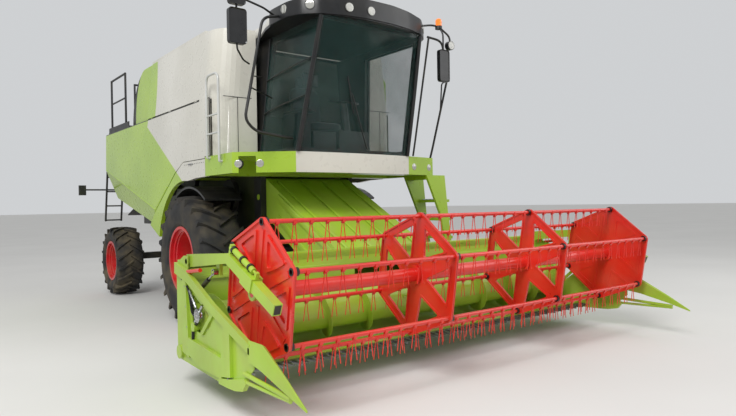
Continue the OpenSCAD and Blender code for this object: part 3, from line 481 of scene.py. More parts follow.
def copies_tree():
    """One tree of Geometry Nodes that repeats a shape along a line and round X."""
    tree = bpy.data.node_groups.new("copies", "GeometryNodeTree")
    wanted = {
        "Shape": "Geometry", "Count": "Int", "Step": "Vector", "Turn": "Float",
        "Centre": "Vector", "First turn": "Float", "Finish": "Material",
    }
    sockets = {}
    for name, kind in wanted.items():
        socket = tree.interface.new_socket(name, in_out="INPUT", socket_type="NodeSocket" + kind)
        sockets[name] = socket.identifier
    tree.interface.new_socket("Shape", in_out="OUTPUT", socket_type="NodeSocketGeometry")
    given = tree.nodes.new("NodeGroupInput").outputs
    line = {"Count": given["Count"], "Start Location": given["Centre"], "Offset": given["Step"]}
    points = add(tree, "GeometryNodeMeshLine", line, mode="OFFSET")
    index = add(tree, "GeometryNodeInputIndex", {})
    angle = add(tree, "ShaderNodeMath", [index, given["Turn"]], operation="MULTIPLY")
    angle = add(tree, "ShaderNodeMath", [angle, given["First turn"]], operation="ADD")
    turn = add(tree, "ShaderNodeCombineXYZ", [angle])
    copies = {"Points": points, "Instance": given["Shape"], "Rotation": turn}
    placed = add(tree, "GeometryNodeInstanceOnPoints", copies)
    real = add(tree, "GeometryNodeRealizeInstances", {"Geometry": placed})
    finished = add(tree, "GeometryNodeSetMaterial", {"Geometry": real, "Material": given["Finish"]})
    tree.links.new(finished, tree.nodes.new("NodeGroupOutput").inputs[0])
    return tree, sockets


COPIES, SOCKETS = copies_tree()


def plain_mesh(obj):
    """The mesh that an object's modifiers make."""
    return bpy.data.meshes.new_from_object(obj.evaluated_get(bpy.context.evaluated_depsgraph_get()))


def repeat(shape, mat, count, centre, step=(0, 0, 0), turn=0.0, first=0.0):
    """Copies of a shape drawn about nothing: placed at centre, each a step further and turned about X."""
    holder = bpy.data.objects.new("repeat", shape.mesh("repeat"))
    scene.collection.objects.link(holder)
    mod = holder.modifiers.new("copies", "NODES")
    mod.node_group = COPIES
    values = {
        "Count": count, "Step": [c * MM for c in step], "Turn": math.radians(turn),
        "Centre": [c * MM for c in centre], "First turn": math.radians(first), "Finish": MATS[mat],
    }
    for key, value in values.items():
        mod[SOCKETS[key]] = value
    made = plain_mesh(holder)
    bpy.data.objects.remove(holder)
    return made


def piece(name, parts, body, mat, replaced=(), angle=SMOOTH_UP_TO, bevel=0.0):
    """Makes one object from shapes and repeated meshes, and lets it ride on a body."""
    bm = bmesh.new()
    for part in parts if isinstance(parts, list) else [parts]:
        bm.from_mesh(part.mesh(name) if isinstance(part, Shape) else part)
    mesh = bpy.data.meshes.new(name)
    bm.to_mesh(mesh)
    bm.free()
    mesh.materials.clear()
    mesh.materials.append(MATS[mat])
    for face in mesh.polygons:
        face.material_index = 0
    obj = bpy.data.objects.new(name, mesh)
    scene.collection.objects.link(obj)
    if bevel:
        mod = obj.modifiers.new("edge", "BEVEL")
        mod.width = bevel * MM
        mod.segments = 2
        mod.limit_method = "ANGLE"
        mod.angle_limit = math.radians(40)
        done = plain_mesh(obj)
        obj.modifiers.clear()
        obj.data = done
    obj.data.shade_smooth()
    obj.data.set_sharp_from_angle(angle=math.radians(angle))
    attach(obj, body)
    if replaced:
        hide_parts(*replaced)
    return obj


def bolt_head(size, along):
    """A hexagon head with its washer, looking along the given axis."""
    along = Vector(along)
    side = along.orthogonal().normalized()
    up = along.cross(side)
    shape = Shape()
    for corners, reach, high in ((6, size, size * 0.8), (12, size * 1.4, size * 0.2)):
        shape.prism([[side * u + up * v for u, v in circle(reach, corners)]], along * high)
    return shape


# Wheels: a carcass spun from its section, and lugs repeated round it
NUT_CIRCLE = 145
# Outlines of (radius, x), the second with its radius from the rim's inside
HUB_CAP = [(0.5, 0), (64, 0), (84, 2), (80, 52), (60, 64), (0.5, 66)]
RIM_STEP = [(-3, 0), (-30, 6), (-34, 30), (-3, 40)]


def carcass_section(bead, base, half):
    """Outline of (radius, x), from the bead up one wall to the tread's base and down the other."""
    wall = (bead + base) / 2
    outer = [
        (bead, half - 45), (bead + 20, half - 44), (bead + 34, half - 30), (bead + 60, half - 13),
        (wall - 10, half - 2), (wall + 40, half - 3), (base - 70, half - 17), (base - 34, half - 38),
        (base - 12, half - 74), (base - 2, half - 120), (base, 0),
    ]
    return outer + [(r, -x) for r, x in reversed(outer[:-1])]


def tyre_lug(radius, width, height, thick, lean):
    """One lug, drawn about the wheel's middle at its top, leaning back from the centre line."""
    half = width / 2
    root = radius - height - 75
    # The lug's middle line: out from the centre line, and round the tyre as a share of its width
    line = [(-18, -0.04), (half * 0.30, 0.09), (half * 0.62, 0.21), (half * 0.86, 0.285), (half - 12, 0.315)]
    rings = []
    for x, back in line:
        share = max(x, 0) / half
        here = thick * (0.55 + 0.35 * share)
        crest = radius - 2 - 26 * share ** 2.5
        ring = []
        for r, wide in ((root, here * 0.75), (crest, here * 0.5), (crest, -here * 0.5), (root, -here * 0.75)):
            a = (back * width * lean + wide) / radius
            ring.append((x, r * math.sin(a), r * math.cos(a)))
        rings.append(ring)
    return Shape().rings(rings)


def wheel_nut(s):
    """A nut on the end of its stud."""
    nut = Shape().prism([[(0, u, NUT_CIRCLE + v) for u, v in circle(15, 6)]], (s * 22, 0, 0))
    return nut.tube([(0, 0, NUT_CIRCLE), (s * 34, 0, NUT_CIRCLE)], 8)


def wheels(end, x, y, radius, width, bead, lug_height, lug_thick, lugs, lean, hub_x, nuts):
    """Both wheels of an axle; lean is which way round the lugs lie, hub_x where the dished disc stands."""
    section = carcass_section(bead, radius - lug_height, width / 2)
    for s, side in SIDES:
        wheel = "wheel_%s_%s" % (end, side)
        middle = (s * x, y, radius)
        tyre = [Shape().spin(section, middle, 72)]
        for flip in (False, True):
            lug = tyre_lug(radius, width, lug_height, lug_thick, lean).mirrored(flip)
            tyre.append(repeat(lug, "tyre", lugs, middle, turn=360 / lugs, first=180 / lugs * flip))
        replaced = ["%s_tyre_%s" % (end, side)]
        piece("%s_tyre_tread_%s" % (end, side), tyre, wheel, "tyre", replaced, 28)
        face = (s * (hub_x + 34), y, radius)
        ring = repeat(wheel_nut(s), "bare_steel", nuts, face, turn=360 / nuts)
        piece("%s_wheel_nuts_%s" % (end, side), ring, wheel, "bare_steel")
        cap = Shape().spin([(r, s * out) for r, out in HUB_CAP], face, 48)
        step = (s * (x + width / 2 - 115), y, radius)
        cap.spin([(bead - 20 + r, s * out) for r, out in RIM_STEP], step, 72)
        piece("%s_hub_cap_%s" % (end, side), cap, wheel, "rim_red")


wheels("front", x=1275, y=0, radius=900, width=640, bead=452, lug_height=52, lug_thick=56, lugs=20, lean=1,
       hub_x=1135, nuts=12)
wheels("rear", x=1300, y=3800, radius=640, width=480, bead=352, lug_height=40, lug_thick=44, lugs=18, lean=-1,
       hub_x=1170, nuts=10)

# Reel: its axis, the circle of its bars and the turn of the first one; its end plates and spiders
REEL_Y, REEL_Z, REEL_R, PHASE = -4040, 970, 558, 9
DISC_X, SPIDER_X, DISC_T, BAR_R = 2460, 810, 25, 19
CORNER = REEL_R + 45


def on_reel(points):
    """Plan of a plate, with corners at steps of 60 degrees, as (y, z) on the reel."""
    return [(REEL_Y + v, REEL_Z - u) for u, v in turned(points, PHASE)]


def hexagon(reach, r):
    return on_reel(rounded([polar(reach, 60 * i) for i in range(6)], r, 4))


def field(i, g, wide=0):
    """Field under the plate's edge i: three-cornered, or U-shaped at every other edge, made smaller by g.
    In a spider the fields are wider."""
    u_shaped = i % 2 == 1
    reach = CORNER - (135 if u_shaped else 130)
    points = [polar(reach, 12 - 3 * wide), polar(reach, 48 + 3 * wide)]
    if u_shaped:
        points += [polar(330, 42 + 2 * wide), polar(235 - 30 * wide, 30), polar(330, 18 - 2 * wide)]
    else:
        points.append(polar(185 - 30 * wide, 30))
    return on_reel(turned(rounded(inset(points, g), 34, 4), 60 * i))


def bores():
    """The six holes in which the bars turn."""
    bore = [(REEL_R + u, v) for u, v in circle(BAR_R + 0.3, 12)]
    return [on_reel(turned(bore, 60 * i)) for i in range(6)]


def end_plate(reel, s):
    """A thin plate with a folded rim, folded edges round its fields, and pressed ribs out to the bars."""
    x = s * DISC_X - (DISC_T if s > 0 else 0)
    reel.slab(hexagon(CORNER, 34), x + (15 if s < 0 else 6), 4, bores())
    reel.slab(hexagon(CORNER, 34), x, DISC_T, [hexagon(CORNER - 26, 26)])
    rib = [polar(REEL_R - 60, a) for a in (-3, 3)] + [polar(112, a) for a in (9, -9)]
    for i in range(6):
        reel.slab(field(i, -16), x, DISC_T, [field(i, 10)])
        reel.slab(on_reel(turned(rib, 60 * i)), x + 5, DISC_T - 9)


def spider(reel, s):
    """Like an end plate, but open between its arms, with a boss on each face."""
    x = s * SPIDER_X - DISC_T / 2
    reel.slab(hexagon(CORNER, 34), x + 9, DISC_T - 18, bores() + [field(i, 0, 1) for i in range(6)])
    reel.slab(hexagon(CORNER, 34), x, DISC_T, [hexagon(CORNER - 20, 26)])
    for i in range(6):
        reel.slab(field(i, -16, 1), x, DISC_T, [field(i, 0, 1)])
    for boss in (x - 18, x + DISC_T):
        reel.bar(boss, boss + 18, REEL_Y, REEL_Z, 92)


def reel_plates():
    """The shaft in its tube, and on each side an end plate with its boss, and a spider."""
    reel = Shape().bar(-DISC_X, DISC_X, REEL_Y, REEL_Z, 64, 48)
    reel.bar(-DISC_X - 50, DISC_X + 50, REEL_Y, REEL_Z, 35)
    for s, _ in SIDES:
        end_plate(reel, s)
        spider(reel, s)
        reel.bar(*sorted((s * (DISC_X - 40), s * (DISC_X - 25))), REEL_Y, REEL_Z, 100)
    piece("reel_plates_and_shaft", reel, "reel", "red_paint", ["reel_frame"])


def tine_clip():
    """A clip with its pair of wire tines, drawn about the bar's middle."""
    clip = Shape().box((-15, -22, -24), (15, 8, 6))
    for s in (-1, 1):
        clip.tube([(s * 9, 0, -18), (s * 9, 0, -44), (s * 30, 4, -198)], 4.2, 20, 6)
    return clip.tube([(-14, 0, -30), (14, 0, -30)], 8, n=8)


def tine_bar(i):
    """Bar i with ten clips in each of its three stretches, and its bearings in the plates."""
    ((y, z),) = on_reel([polar(REEL_R, 60 * i)])
    body, number = "tines_%d" % (i + 1), i + 1
    parts = [Shape().bar(-DISC_X - 4, DISC_X + 4, y, z, BAR_R, 20)]
    for first_x in (-2330, -720, 900):
        parts.append(repeat(tine_clip(), "red_paint", 10, (first_x, y, z), (158, 0, 0)))
    replaced = ["tine_bar_%d" % number]
    piece("tine_bar_with_tines_%d" % number, parts, body, "red_paint", replaced)
    bearing = Shape()
    beside_plates = (
        -DISC_X + DISC_T + 2, -SPIDER_X + DISC_T / 2 + 2,
        SPIDER_X - DISC_T / 2 - 26, DISC_X - DISC_T - 28,
    )
    for x in beside_plates:
        bearing.bar(x, x + 24, y, z, BAR_R + 14, 16)
    for x in (-DISC_X - 4, DISC_X - 2):
        bearing.bar(x, x + 6, y, z, BAR_R + 12, 16)
    piece("bar_bearings_%d" % number, bearing, body, "black_plastic")


reel_plates()
for i in range(6):
    tine_bar(i)

# Auger: flights of both hands, and the fingers between them
AUGER_Y, AUGER_Z, AUGER_R, TUBE_R = -3150, 590, 290, 200


def on_auger(x, r, a):
    y, z = polar(r, a)
    return (x, AUGER_Y + y, AUGER_Z + z)


def flight(auger, s):
    """A flight that rises from the tube within its first steps and runs out to the header's side."""
    first_x, length, turns, steps, steps_to_rise = 620, 1870, 3.75, 150, 8
    rings = []
    for k in range(steps + 1):
        x = s * (first_x + length * k / steps)
        crest = TUBE_R + (AUGER_R - 3 - TUBE_R) * min(1, k / steps_to_rise + 0.1)
        section = ((TUBE_R - 6, -5), (crest, -2.5), (crest, 2.5), (TUBE_R - 6, 5))
        rings.append([on_auger(x + dx, r, s * 360 * turns * k / steps) for r, dx in section])
    auger.rings(rings)


def header_auger():
    auger = Shape().bar(-2580, 2580, AUGER_Y, AUGER_Z, TUBE_R, 64)
    auger.bar(-2638, 2638, AUGER_Y, AUGER_Z, 40)
    for s, _ in SIDES:
        flight(auger, s)
    for i in range(12):
        x, a = -575 + (i % 6) * 230, i * 75
        auger.tube([on_auger(x, 0, a), on_auger(x, AUGER_R - 4, a)], 8, n=8)
        auger.tube([on_auger(x, TUBE_R - 10, a), on_auger(x, TUBE_R + 8, a)], 24)
    piece("auger_with_flights", auger, "auger", "header_green", ["header_auger"], 35)


header_auger()

# Header side walls: where the left one starts, how thick it is over its frame, and the (y, z) of its pivots
HX, WALL = 2600, 40
ARM_PIVOT, LIFT_FOOT, LOWER_TUBE, KNIFE_MOTOR = (-2950, 1150), (-3080, 860), (-2810, 310), (-3240, 700)


def wall_frame(side):
    """A thin plate with a hatch, and the pressed frame on its outer face, each part standing a little
    more or less proud than the next."""
    plate = [
        (-2710, 1120), (-2710, 240), (-3700, 210), (-3860, 225), (-4090, 300), (-4250, 440),
        (-4240, 600), (-3580, 800), (-2980, 1050), (-2990, 1200), (-2900, 1200),
    ]
    hatch = rounded([(-3080, 880), (-3080, 560), (-3330, 540), (-3500, 660), (-3440, 740)], 40, 4)
    side.slab(plate, HX, 10, [hatch])
    top_rail = [
        (-2730, 1130), (-3000, 1075), (-3580, 838), (-4240, 625),
        (-4240, 548), (-3580, 750), (-3030, 965), (-2730, 1030),
    ]
    rear_post = [(-2990, 1010), (-2905, 985), (-2890, 330), (-3050, 300)]
    sill = [(-3030, 330), (-3030, 480), (-3240, 465), (-3740, 430), (-3740, 262), (-3300, 262)]
    front_post = [(-3790, 690), (-3900, 650), (-3905, 310), (-3700, 275)]
    brace = [(-3290, 560), (-3330, 545), (-3560, 745), (-3520, 760)]
    skid = [
        (-3680, 214), (-3680, 258), (-3900, 295), (-4140, 350),
        (-4170, 320), (-4110, 250), (-3980, 224), (-3850, 216),
    ]
    frame_parts = (
        (top_rail, 3, WALL - 3), (rear_post, 4, WALL - 8), (sill, 5, WALL - 7),
        (front_post, 6, WALL - 7), (brace, 7, WALL - 21), (skid, -2, WALL - 2),
    )
    for outline, out, thick in frame_parts:
        side.slab(outline, HX + out, thick)


def divider(side):
    """A folded hood that narrows to its tip, over two round bars."""
    # Each section's y, and its points as (x from the wall, z)
    sections = (
        (-4215, [(1, 500), (1, 640), (30, 655), (40, 600), (40, 500)]),
        (-4420, [(1, 475), (1, 640), (24, 655), (40, 590), (40, 470)]),
        (-4760, [(10, 395), (10, 470), (24, 480), (37, 440), (37, 390)]),
        (-5005, [(18, 325), (18, 338), (22, 341), (26, 336), (26, 325)]),
    )
    side.rings([[(HX + x, y, z) for x, z in points] for y, points in sections])
    side.tube([(HX + 21, -4120, 385), (HX + 20, -4800, 362)], 18, n=16)
    side.tube([(HX + 18, -4120, 325), (HX + 20, -4800, 345)], 15, n=16)


def header_walls():
    side = Shape()
    wall_frame(side)
    # Pins of the reel arm and of the foot of its lift cylinder, and the boss where the lower tube ends
    side.bar(2515, HX + 10, *ARM_PIVOT, 25, 24)
    side.bar(2545, HX + 10, *LIFT_FOOT, 12, 16)
    side.bar(HX, HX + WALL - 2, *LOWER_TUBE, 62)
    divider(side)
    piece("header_side_walls", side.both(), "header", "header_green", ["header_sides"])


def header_bolts():
    """Rows of bolts along the frame: the first one's place, how many, and the step to the next."""
    rows = (
        ((-2780, 1080), 3, (-90, -18)), ((-3060, 1020), 4, (-150, -58)), ((-3650, 790), 4, (-150, -45)),
        ((-2965, 930), 4, (-22, -180)), ((-3080, 400), 5, (-150, -4)), ((-3840, 620), 4, (-5, -110)),
    )
    heads = []
    for place, count, step in rows:
        for s, _ in SIDES:
            head = bolt_head(9, (s, 0, 0))
            heads.append(repeat(head, "bare_steel", count, (s * (HX + 30), *place), (0, *step)))
    piece("header_bolts", heads, "header", "bare_steel")


def knife_motor():
    """Hydraulic motor of the knife on the right wall, with its fittings."""
    x = -HX - 18
    motor = Shape().bar(-HX - 36, -HX - 8, *KNIFE_MOTOR, 62, 24)
    motor.tube(at_x(x, [KNIFE_MOTOR, (-3330, 800)]), 14)
    motor.tube(at_x(x, [(-3150, 620), (-3190, 660)]), 14)
    motor.tube(at_x(x - 6, [(-3060, 900), (-3200, 760)]), 11)
    piece("knife_drive_motor", motor, "header", "chrome", bevel=2)


def header_pipes():
    """Two pairs of pipes to the motor, the second of each pair outside and above the first."""
    pipes = Shape()
    for out, up in ((0, 0), (12, 26)):
        x = -HX - 14 - out
        pipes.tube(at_x(x, [(-2880, 960 + up), (-3050, 880 + up), (-3110, 700), (-3200, 690)]), 9, 60, 10)
        pipes.tube(at_x(x, [(-3110, 380 + up), (-3120, 560 + up), (-3225, 640)]), 9, 60, 10)
    piece("header_pipes", pipes, "header", "black_plastic")


def lock_bars():
    """A red bar on each wall that locks the lifted reel."""
    lock = Shape().tube(at_x(-HX - 19, [(-3010, 1062), (-3300, 1098)]), 18, n=16)
    piece("red_lock_bar", lock.both(), "header", "red_paint")


def back_pressings():
    """Lower tube, top beam, upright pressings and stripper strips of the header's back."""
    back = Shape().tube([(-2590, -2815, 310), (2590, -2815, 310)], 42, n=24)
    beam = rounded([(-2830, 1050), (-2710, 1050), (-2710, 1150), (-2830, 1150)], 18)
    back.slab(beam, -2590, 5180)
    for s, _ in SIDES:
        for i in range(2, 6):
            x = s * i * 440
            back.box((x - 20, -2792, 380), (x + 20, -2745, 1060))
        back.box((s * 1700 - 850, -2852, 960), (s * 1700 + 850, -2828, 1000))
    piece("header_back_pressings", back, "header", "header_green", bevel=3)


def knife_guards():
    """Forged points along the knife, three inches apart."""
    rings = []
    for y, half, low, high in ((0, 14, -10, 16), (-60, 9, -8, 12), (-138, 2, -4, 0)):
        rings.append([(-half, y, low), (half, y, low), (half, y, high), (-half, y, high)])
    guards = repeat(Shape().rings(rings), "bare_steel", 67, (-2515, -3640, 262), (76.2, 0, 0))
    piece("knife_guards", guards, "header", "bare_steel")


header_walls()
header_bolts()
knife_motor()
header_pipes()
lock_bars()
back_pressings()
knife_guards()

# Reel arms: the knee from which each one slopes down to the front
ARM_KNEE, ARM_TILT = (-3760, 1225), 23


def on_arm(along, high):
    """The (y, z) of a point so far along the arm from its knee, and so far above its middle line."""
    c, s = polar(1, ARM_TILT)
    return (ARM_KNEE[0] - along * c - high * s, ARM_KNEE[1] - along * s + high * c)


def arm_bands():
    """Three bands round the slide cylinder on top of each arm, and the cap at the arm's front."""
    bands = Shape()
    for along in (30, 200, 330):
        bands.tube(at_x(2550, [on_arm(along, 92), on_arm(along + 22, 92)]), 31, n=24)
    bands.slab([on_arm(820, -36), on_arm(820, 36), on_arm(822, 36), on_arm(822, -36)], 2524, 52)
    piece("arm_cylinder_bands", bands.both(), "reel_support", "black_steel")


def feeder_strips():
    """Strips pressed along the feeder house, two on each side and four on its top."""
    strips = Shape()
    upper = [(-1250, 1790), (-2560, 1085), (-2560, 1005), (-1250, 1680)]
    lower = [(-1250, 1520), (-2560, 690), (-2560, 610), (-1250, 1420)]
    for outline in (upper, lower):
        strips.slab(outline, 685, 26)
    for x in (-560, -200, 160, 520):
        strips.slab([(-980, 1968), (-2560, 1128), (-2550, 1146), (-980, 1990)], x, 40)
    piece("feeder_strips", strips.both(), "header", "header_green", bevel=2)


arm_bands()
feeder_strips()

# Side panels: flat above, with the lower face tucked in; they hang from the seam
BX, SEAM = 1500, 3034


def panel_skin():
    """The sheet of the left panel: its corners from the front of the seam round, and its folds."""
    corners = [
        (BX, -900, SEAM), (BX, -900, 2298), (BX, -740, 2298), (BX, -740, 2275), (BX, 20, 2275),
        (BX, 345, 2140), (BX, 1230, 1590), (BX - 88, 1520, 1370), (BX - 128, 3760, 1830),
        (BX, 4080, 2380), (BX, 4030, SEAM),
    ]
    upright, tucked_rear, tucked_front = [10, 9, 6, 5, 4, 3, 2, 1, 0], [9, 8, 6], [8, 7, 6]
    n = len(corners)
    skin = Shape()
    skin.verts += [Vector(p) for p in corners + [(x - 24, y, z) for x, y, z in corners]]
    for face in (upright, tucked_rear, tucked_front):
        skin.faces += [face, [n + i for i in reversed(face)]]
    skin.faces += [[i, (i + 1) % n, n + (i + 1) % n, n + i] for i in range(n)]
    return skin


def panel_seal():
    """A rubber lip up the front and along the top, and the strip that it sits on."""
    lip = [(-896, 2300), (-896, SEAM + 8), (4020, SEAM + 8)]
    seal = Shape().tube(at_x(BX - 12, lip), 9, 14, 8)
    return seal.box((BX - 58, -890, SEAM - 50), (BX - 26, 4010, SEAM))


def panel_creases():
    """Ridges along the fold: down the tucked corner, back along the fold, and forward up the panel."""
    ridge = Shape().tube([(BX - 5, 1250, 1600), (BX - 92, 1520, 1385)], 13, n=10)
    ridge.tube([(BX - 8, 1246, 1606), (BX - 8, 4060, 2372)], 15, n=10)
    return ridge.tube([(BX - 8, 1236, 1606), (BX - 8, 700, 1940)], 13, n=10)


def side_panels():
    for s, side in SIDES:
        body, right = "panel_" + side, s < 0
        replaced = ["side_panel_" + side]
        skin = panel_skin().mirrored(right)
        piece("side_panel_skin_" + side, skin, body, "panel_two_tone", replaced, 8)
        piece("panel_seal_" + side, panel_seal().mirrored(right), body, "black_plastic")
        piece("panel_crease_" + side, panel_creases().mirrored(right), body, "green_paint")


def panel_handles():
    """A small bent handle by the lower front of each side panel."""
    handle = Shape()
    for s, _ in SIDES:
        path = [(BX, -330), (BX + 12, -330), (BX + 12, -190), (BX, -190)]
        handle.tube([(s * x, y, 2225) for x, y in path], 7, 8, 8)
    piece("panel_handles", handle, "chassis", "bare_steel")


def cheek_seams():
    """A level and an upright seam on each cheek of the tank's front."""
    seams = Shape()
    for s, _ in SIDES:
        x = s * 1180
        seams.box((x - 200, -1083, 3048), (x + 200, -1079, 3056))
        seams.box((x - 3, -1083, 2300), (x + 3, -1079, 3050))
    piece("cheek_seams", seams, "chassis", "black_plastic")


side_panels()
panel_handles()
cheek_seams()

# Engine hood: half its width, and where its curved rear starts and ends
HOOD_X, BOW_Y, BOW_Z = 1390, 1950, 3059


def bow(rear, top):
    """A quarter of an ellipse from the top edge down to the rear."""
    steps = 18
    points = [polar(1, 90 * i / steps) for i in range(steps + 1)]
    return [(BOW_Y + (rear - BOW_Y) * back, BOW_Z + (top - BOW_Z) * up) for up, back in points]


def hood_and_screen():
    """The hood, the dust screen that carries its curve on, and the ribs over the screen."""
    hood = Shape().slab([(1561, 3060), (1561, 3949)] + bow(2500, 3949), -HOOD_X, 2 * HOOD_X)
    piece("engine_hood_skin", hood, "chassis", "green_paint", ["engine_hood"], 20)
    outer = bow(2715, 3945)
    sheet = [(1960, 3925)] + outer[1:] + bow(2505, 3920)[:1:-1]
    screen = Shape().slab(sheet, -HOOD_X + 20, 2 * HOOD_X - 40)
    piece("dust_screen_skin", screen, "chassis", "screen", ["radiator_screen"], 20)
    raised = [(y + 4, z + 4 * (z > 3100)) for y, z in outer[2:]]
    rib = [(1990, 3935)] + raised + bow(2690, 3925)[:2:-1]
    ribs = [Shape().slab(rib, i * (HOOD_X - 32) / 4 - 14, 28) for i in range(-4, 5)]
    piece("screen_ribs", ribs, "chassis", "black_steel", (), 20)


hood_and_screen()

# Cab roof and visor: half the roof's plan as (x, y), and the point it is scaled about
ROOF_HALF = [
    (200, -2600), (500, -2560), (800, -2470), (970, -2320), (1040, -2150),
    (1049, -1995), (1049, -1760), (1000, -1500), (880, -1130), (880, -705),
]
ROOF_Y = -1500


def roof_plan(share):
    half = [(x * share, ROOF_Y + (y - ROOF_Y) * share) for x, y in ROOF_HALF]
    return half + [(-x, y) for x, y in reversed(half)]


def smooth_plan(share):
    """The roof's plan with its corners rounded."""
    return rounded(roof_plan(share), 60, 3)


def roof_dome():
    """The roof, lofted through plans that shrink as they rise."""
    levels = (
        (0.955, 3880), (0.965, 3930), (0.955, 3990), (0.93, 4025), (0.87, 4052),
        (0.77, 4072), (0.62, 4085), (0.45, 4092), (0.25, 4095),
    )
    dome = Shape().rings([[(p.x, p.y, z) for p in smooth_plan(share)] for share, z in levels])
    piece("roof_dome", dome, "chassis", "white_paint", ["cab_roof"], 40)


def visor_low(x):
    """Height of the visor's foot, 10 mm higher in the middle."""
    return 3846 + 10 * max(0, 1 - (x / 860) ** 2)


def visor_high(x):
    """Height of the visor's top, 68 mm higher in the middle."""
    return 4020 + 68 * max(0, 1 - (x / 1100) ** 2)


def roof_visor():
    """A wall round the front of the roof, arched along its top and its foot, on a flat soffit."""
    front = [(p.x, p.y) for p in smooth_plan(1.0) if p.y < -1560]
    front.sort(key=lambda p: math.atan2(p[0], -(p[1] + 1400)))
    rings = []
    for x, y in front:
        low, high = visor_low(x), visor_high(x)
        top = (x * 0.99, ROOF_Y + (y - ROOF_Y) * 0.99)
        inner = (x * 0.972, ROOF_Y + (y - ROOF_Y) * 0.976)
        rings.append([(x, y, low), (x, y, (low + high) / 2), (*top, high), (*inner, high), (*inner, low)])
    visor = Shape().rings(rings)
    visor.plan(roof_plan(0.985), 3841, 34)
    piece("roof_visor_wall", visor, "chassis", "black_plastic", ["roof_visor"], 38)


roof_dome()
roof_visor()

# Lamps: where each stands as (x, y), and which way it looks, in degrees from straight ahead
ROOF_LAMP_Z, CORNER_LAMP_Z = 3950, 2150
ROOF_LAMPS = [
    (-1040, -2072, 78), (-885, -2395, 41), (-450, -2566.7, 8),
    (-150, -2600, 0), (885, -2395, -41), (1040, -2072, -78),
]
CORNER_LAMPS = [(-1235, -1778, 40), (-1440, -1612, 40), (1018, -2025, -10), (1360, -1962, -10)]
BEACON_X, BEACON_Y = 1050, -2520


def facing(lamp, out, z):
    """A point so far out in front of a lamp, at height z."""
    x, y, a = lamp
    ahead, aside = polar(out, a)
    return (x - aside, y - ahead, z)


def lamps_in_bezels():
    """Lamps round the roof and in the platform's corners, and the work lamp on the left arm."""
    lenses, bezels = Shape(), Shape()
    for lamp in ROOF_LAMPS:
        lenses.tube([facing(lamp, out, ROOF_LAMP_Z) for out in (-30, 6, 12)], 52, 3, 28, end_r=38)
        bezels.tube([facing(lamp, out, ROOF_LAMP_Z) for out in (-34, 3)], 63, n=28)
    for lamp in CORNER_LAMPS:
        lenses.tube([facing(lamp, out, CORNER_LAMP_Z) for out in (-30, 3, 10)], 46, 3, 28, end_r=34)
        bezels.tube([facing(lamp, out, CORNER_LAMP_Z) for out in (-34, 1)], 60, n=28)
    lenses.tube([(1200, -2600, 3740), (1200, -2606, 3740)], 52, n=28)
    bezels.tube([(1200, -2540, 3740), (1200, -2603, 3740)], 60, n=28)
    piece("lamp_lenses", lenses, "chassis", "lamp_glass", ["lamps"])
    piece("lamp_bezels", bezels, "chassis", "black_plastic")


def amber_beacon():
    beacon = Shape().tube([(BEACON_X, BEACON_Y, 3980), (BEACON_X, BEACON_Y, 4060)], 42, n=28)
    beacon.ball((BEACON_X, BEACON_Y, 4056), 42, 20, 0.9)
    piece("amber_beacon", beacon, "chassis", "amber")


def tail_lamps():
    """A lamp on an arm out from each side of the straw hood."""
    x = 1905
    tails, arms = Shape(), Shape()
    for s, _ in SIDES:
        tails.box((s * x - 55, 4232, 1905), (s * x + 55, 4252, 2075))
        arms.tube([(s * 690, 4200, 2000), (s * x, 4200, 2000)], 15)
        arms.box((s * x - 62, 4180, 1895), (s * x + 62, 4233, 2085))
    piece("tail_lamps", tails, "chassis", "red_lens", bevel=4)
    piece("tail_lamp_arms", arms, "chassis", "black_steel")


lamps_in_bezels()
amber_beacon()
tail_lamps()


# Mirrors, arms and rails round the cab
def rails_and_arms():
    rails = Shape()
    # Arm of the right mirrors from the roof, and its stay from the big rail
    x, y = -1765, -2312
    rails.tube([(-1040, -1860, 3920), (-1300, -2050, 3925), (x, y, 3900), (x, y, 3700)], 12)
    rails.tube([(x, y, 3420), (x, y, 3330), (-1600, -2120, 3270), (-1475, -2010, 3265)], 10, 50)
    # Big rail in front of the right side glass, and its stay
    front_rail = [
        (-1040, -1950, 3900), (-1260, -1950, 3850), (-1560, -2050, 2620),
        (-1400, -2000, 2500), (-960, -1980, 2450), (-900, -1975, 2450),
    ]
    rails.tube(front_rail, 17, 130, 16)
    rails.tube([(-1480, -2020, 3000), (-1200, -1750, 3010), (-905, -1500, 3000)], 9)
    # Arm of the work lamp past the beacon, the beacon's foot, and the arm of the front mirror
    lamp_arm = [
        (885, -2395, 4000), (960, -2480, 4000), (BEACON_X, BEACON_Y, 3985),
        (1200, -2575, 3860), (1200, -2575, 3740),
    ]
    rails.tube(lamp_arm, 13)
    rails.tube([(BEACON_X, BEACON_Y, 3950), (BEACON_X, BEACON_Y, 3990)], 46, n=24)
    rails.tube([(BEACON_X, BEACON_Y, 3985), (1060, -2590, 3880), (1060, -2590, 3600)], 11, 50)
    # Upright and outer rail on the left
    rails.tube([(965, -2068, 2295), (950, -2130, 2480), (930, -2455, 3850)], 13)
    outer_rail = [
        (1432, -1920, 2290), (1440, -1960, 2420), (1500, -2240, 3450),
        (1200, -2420, 3840), (1000, -2350, 3880),
    ]
    rails.tube(outer_rail, 15, 90)
    # A small bent bar on the outer rail, and a short pin on the cab's right side
    rails.tube([(1471, -2104, 2960), (1420, -2190, 3330), (1494, -2214, 3360)], 10)
    rails.tube([(-1050, -1300, 3300), (-930, -1300, 3300)], 8)
    replaced = ["mirrors_and_rails"]
    piece("rails_and_mirror_arms", rails, "chassis", "black_steel", replaced, 40)


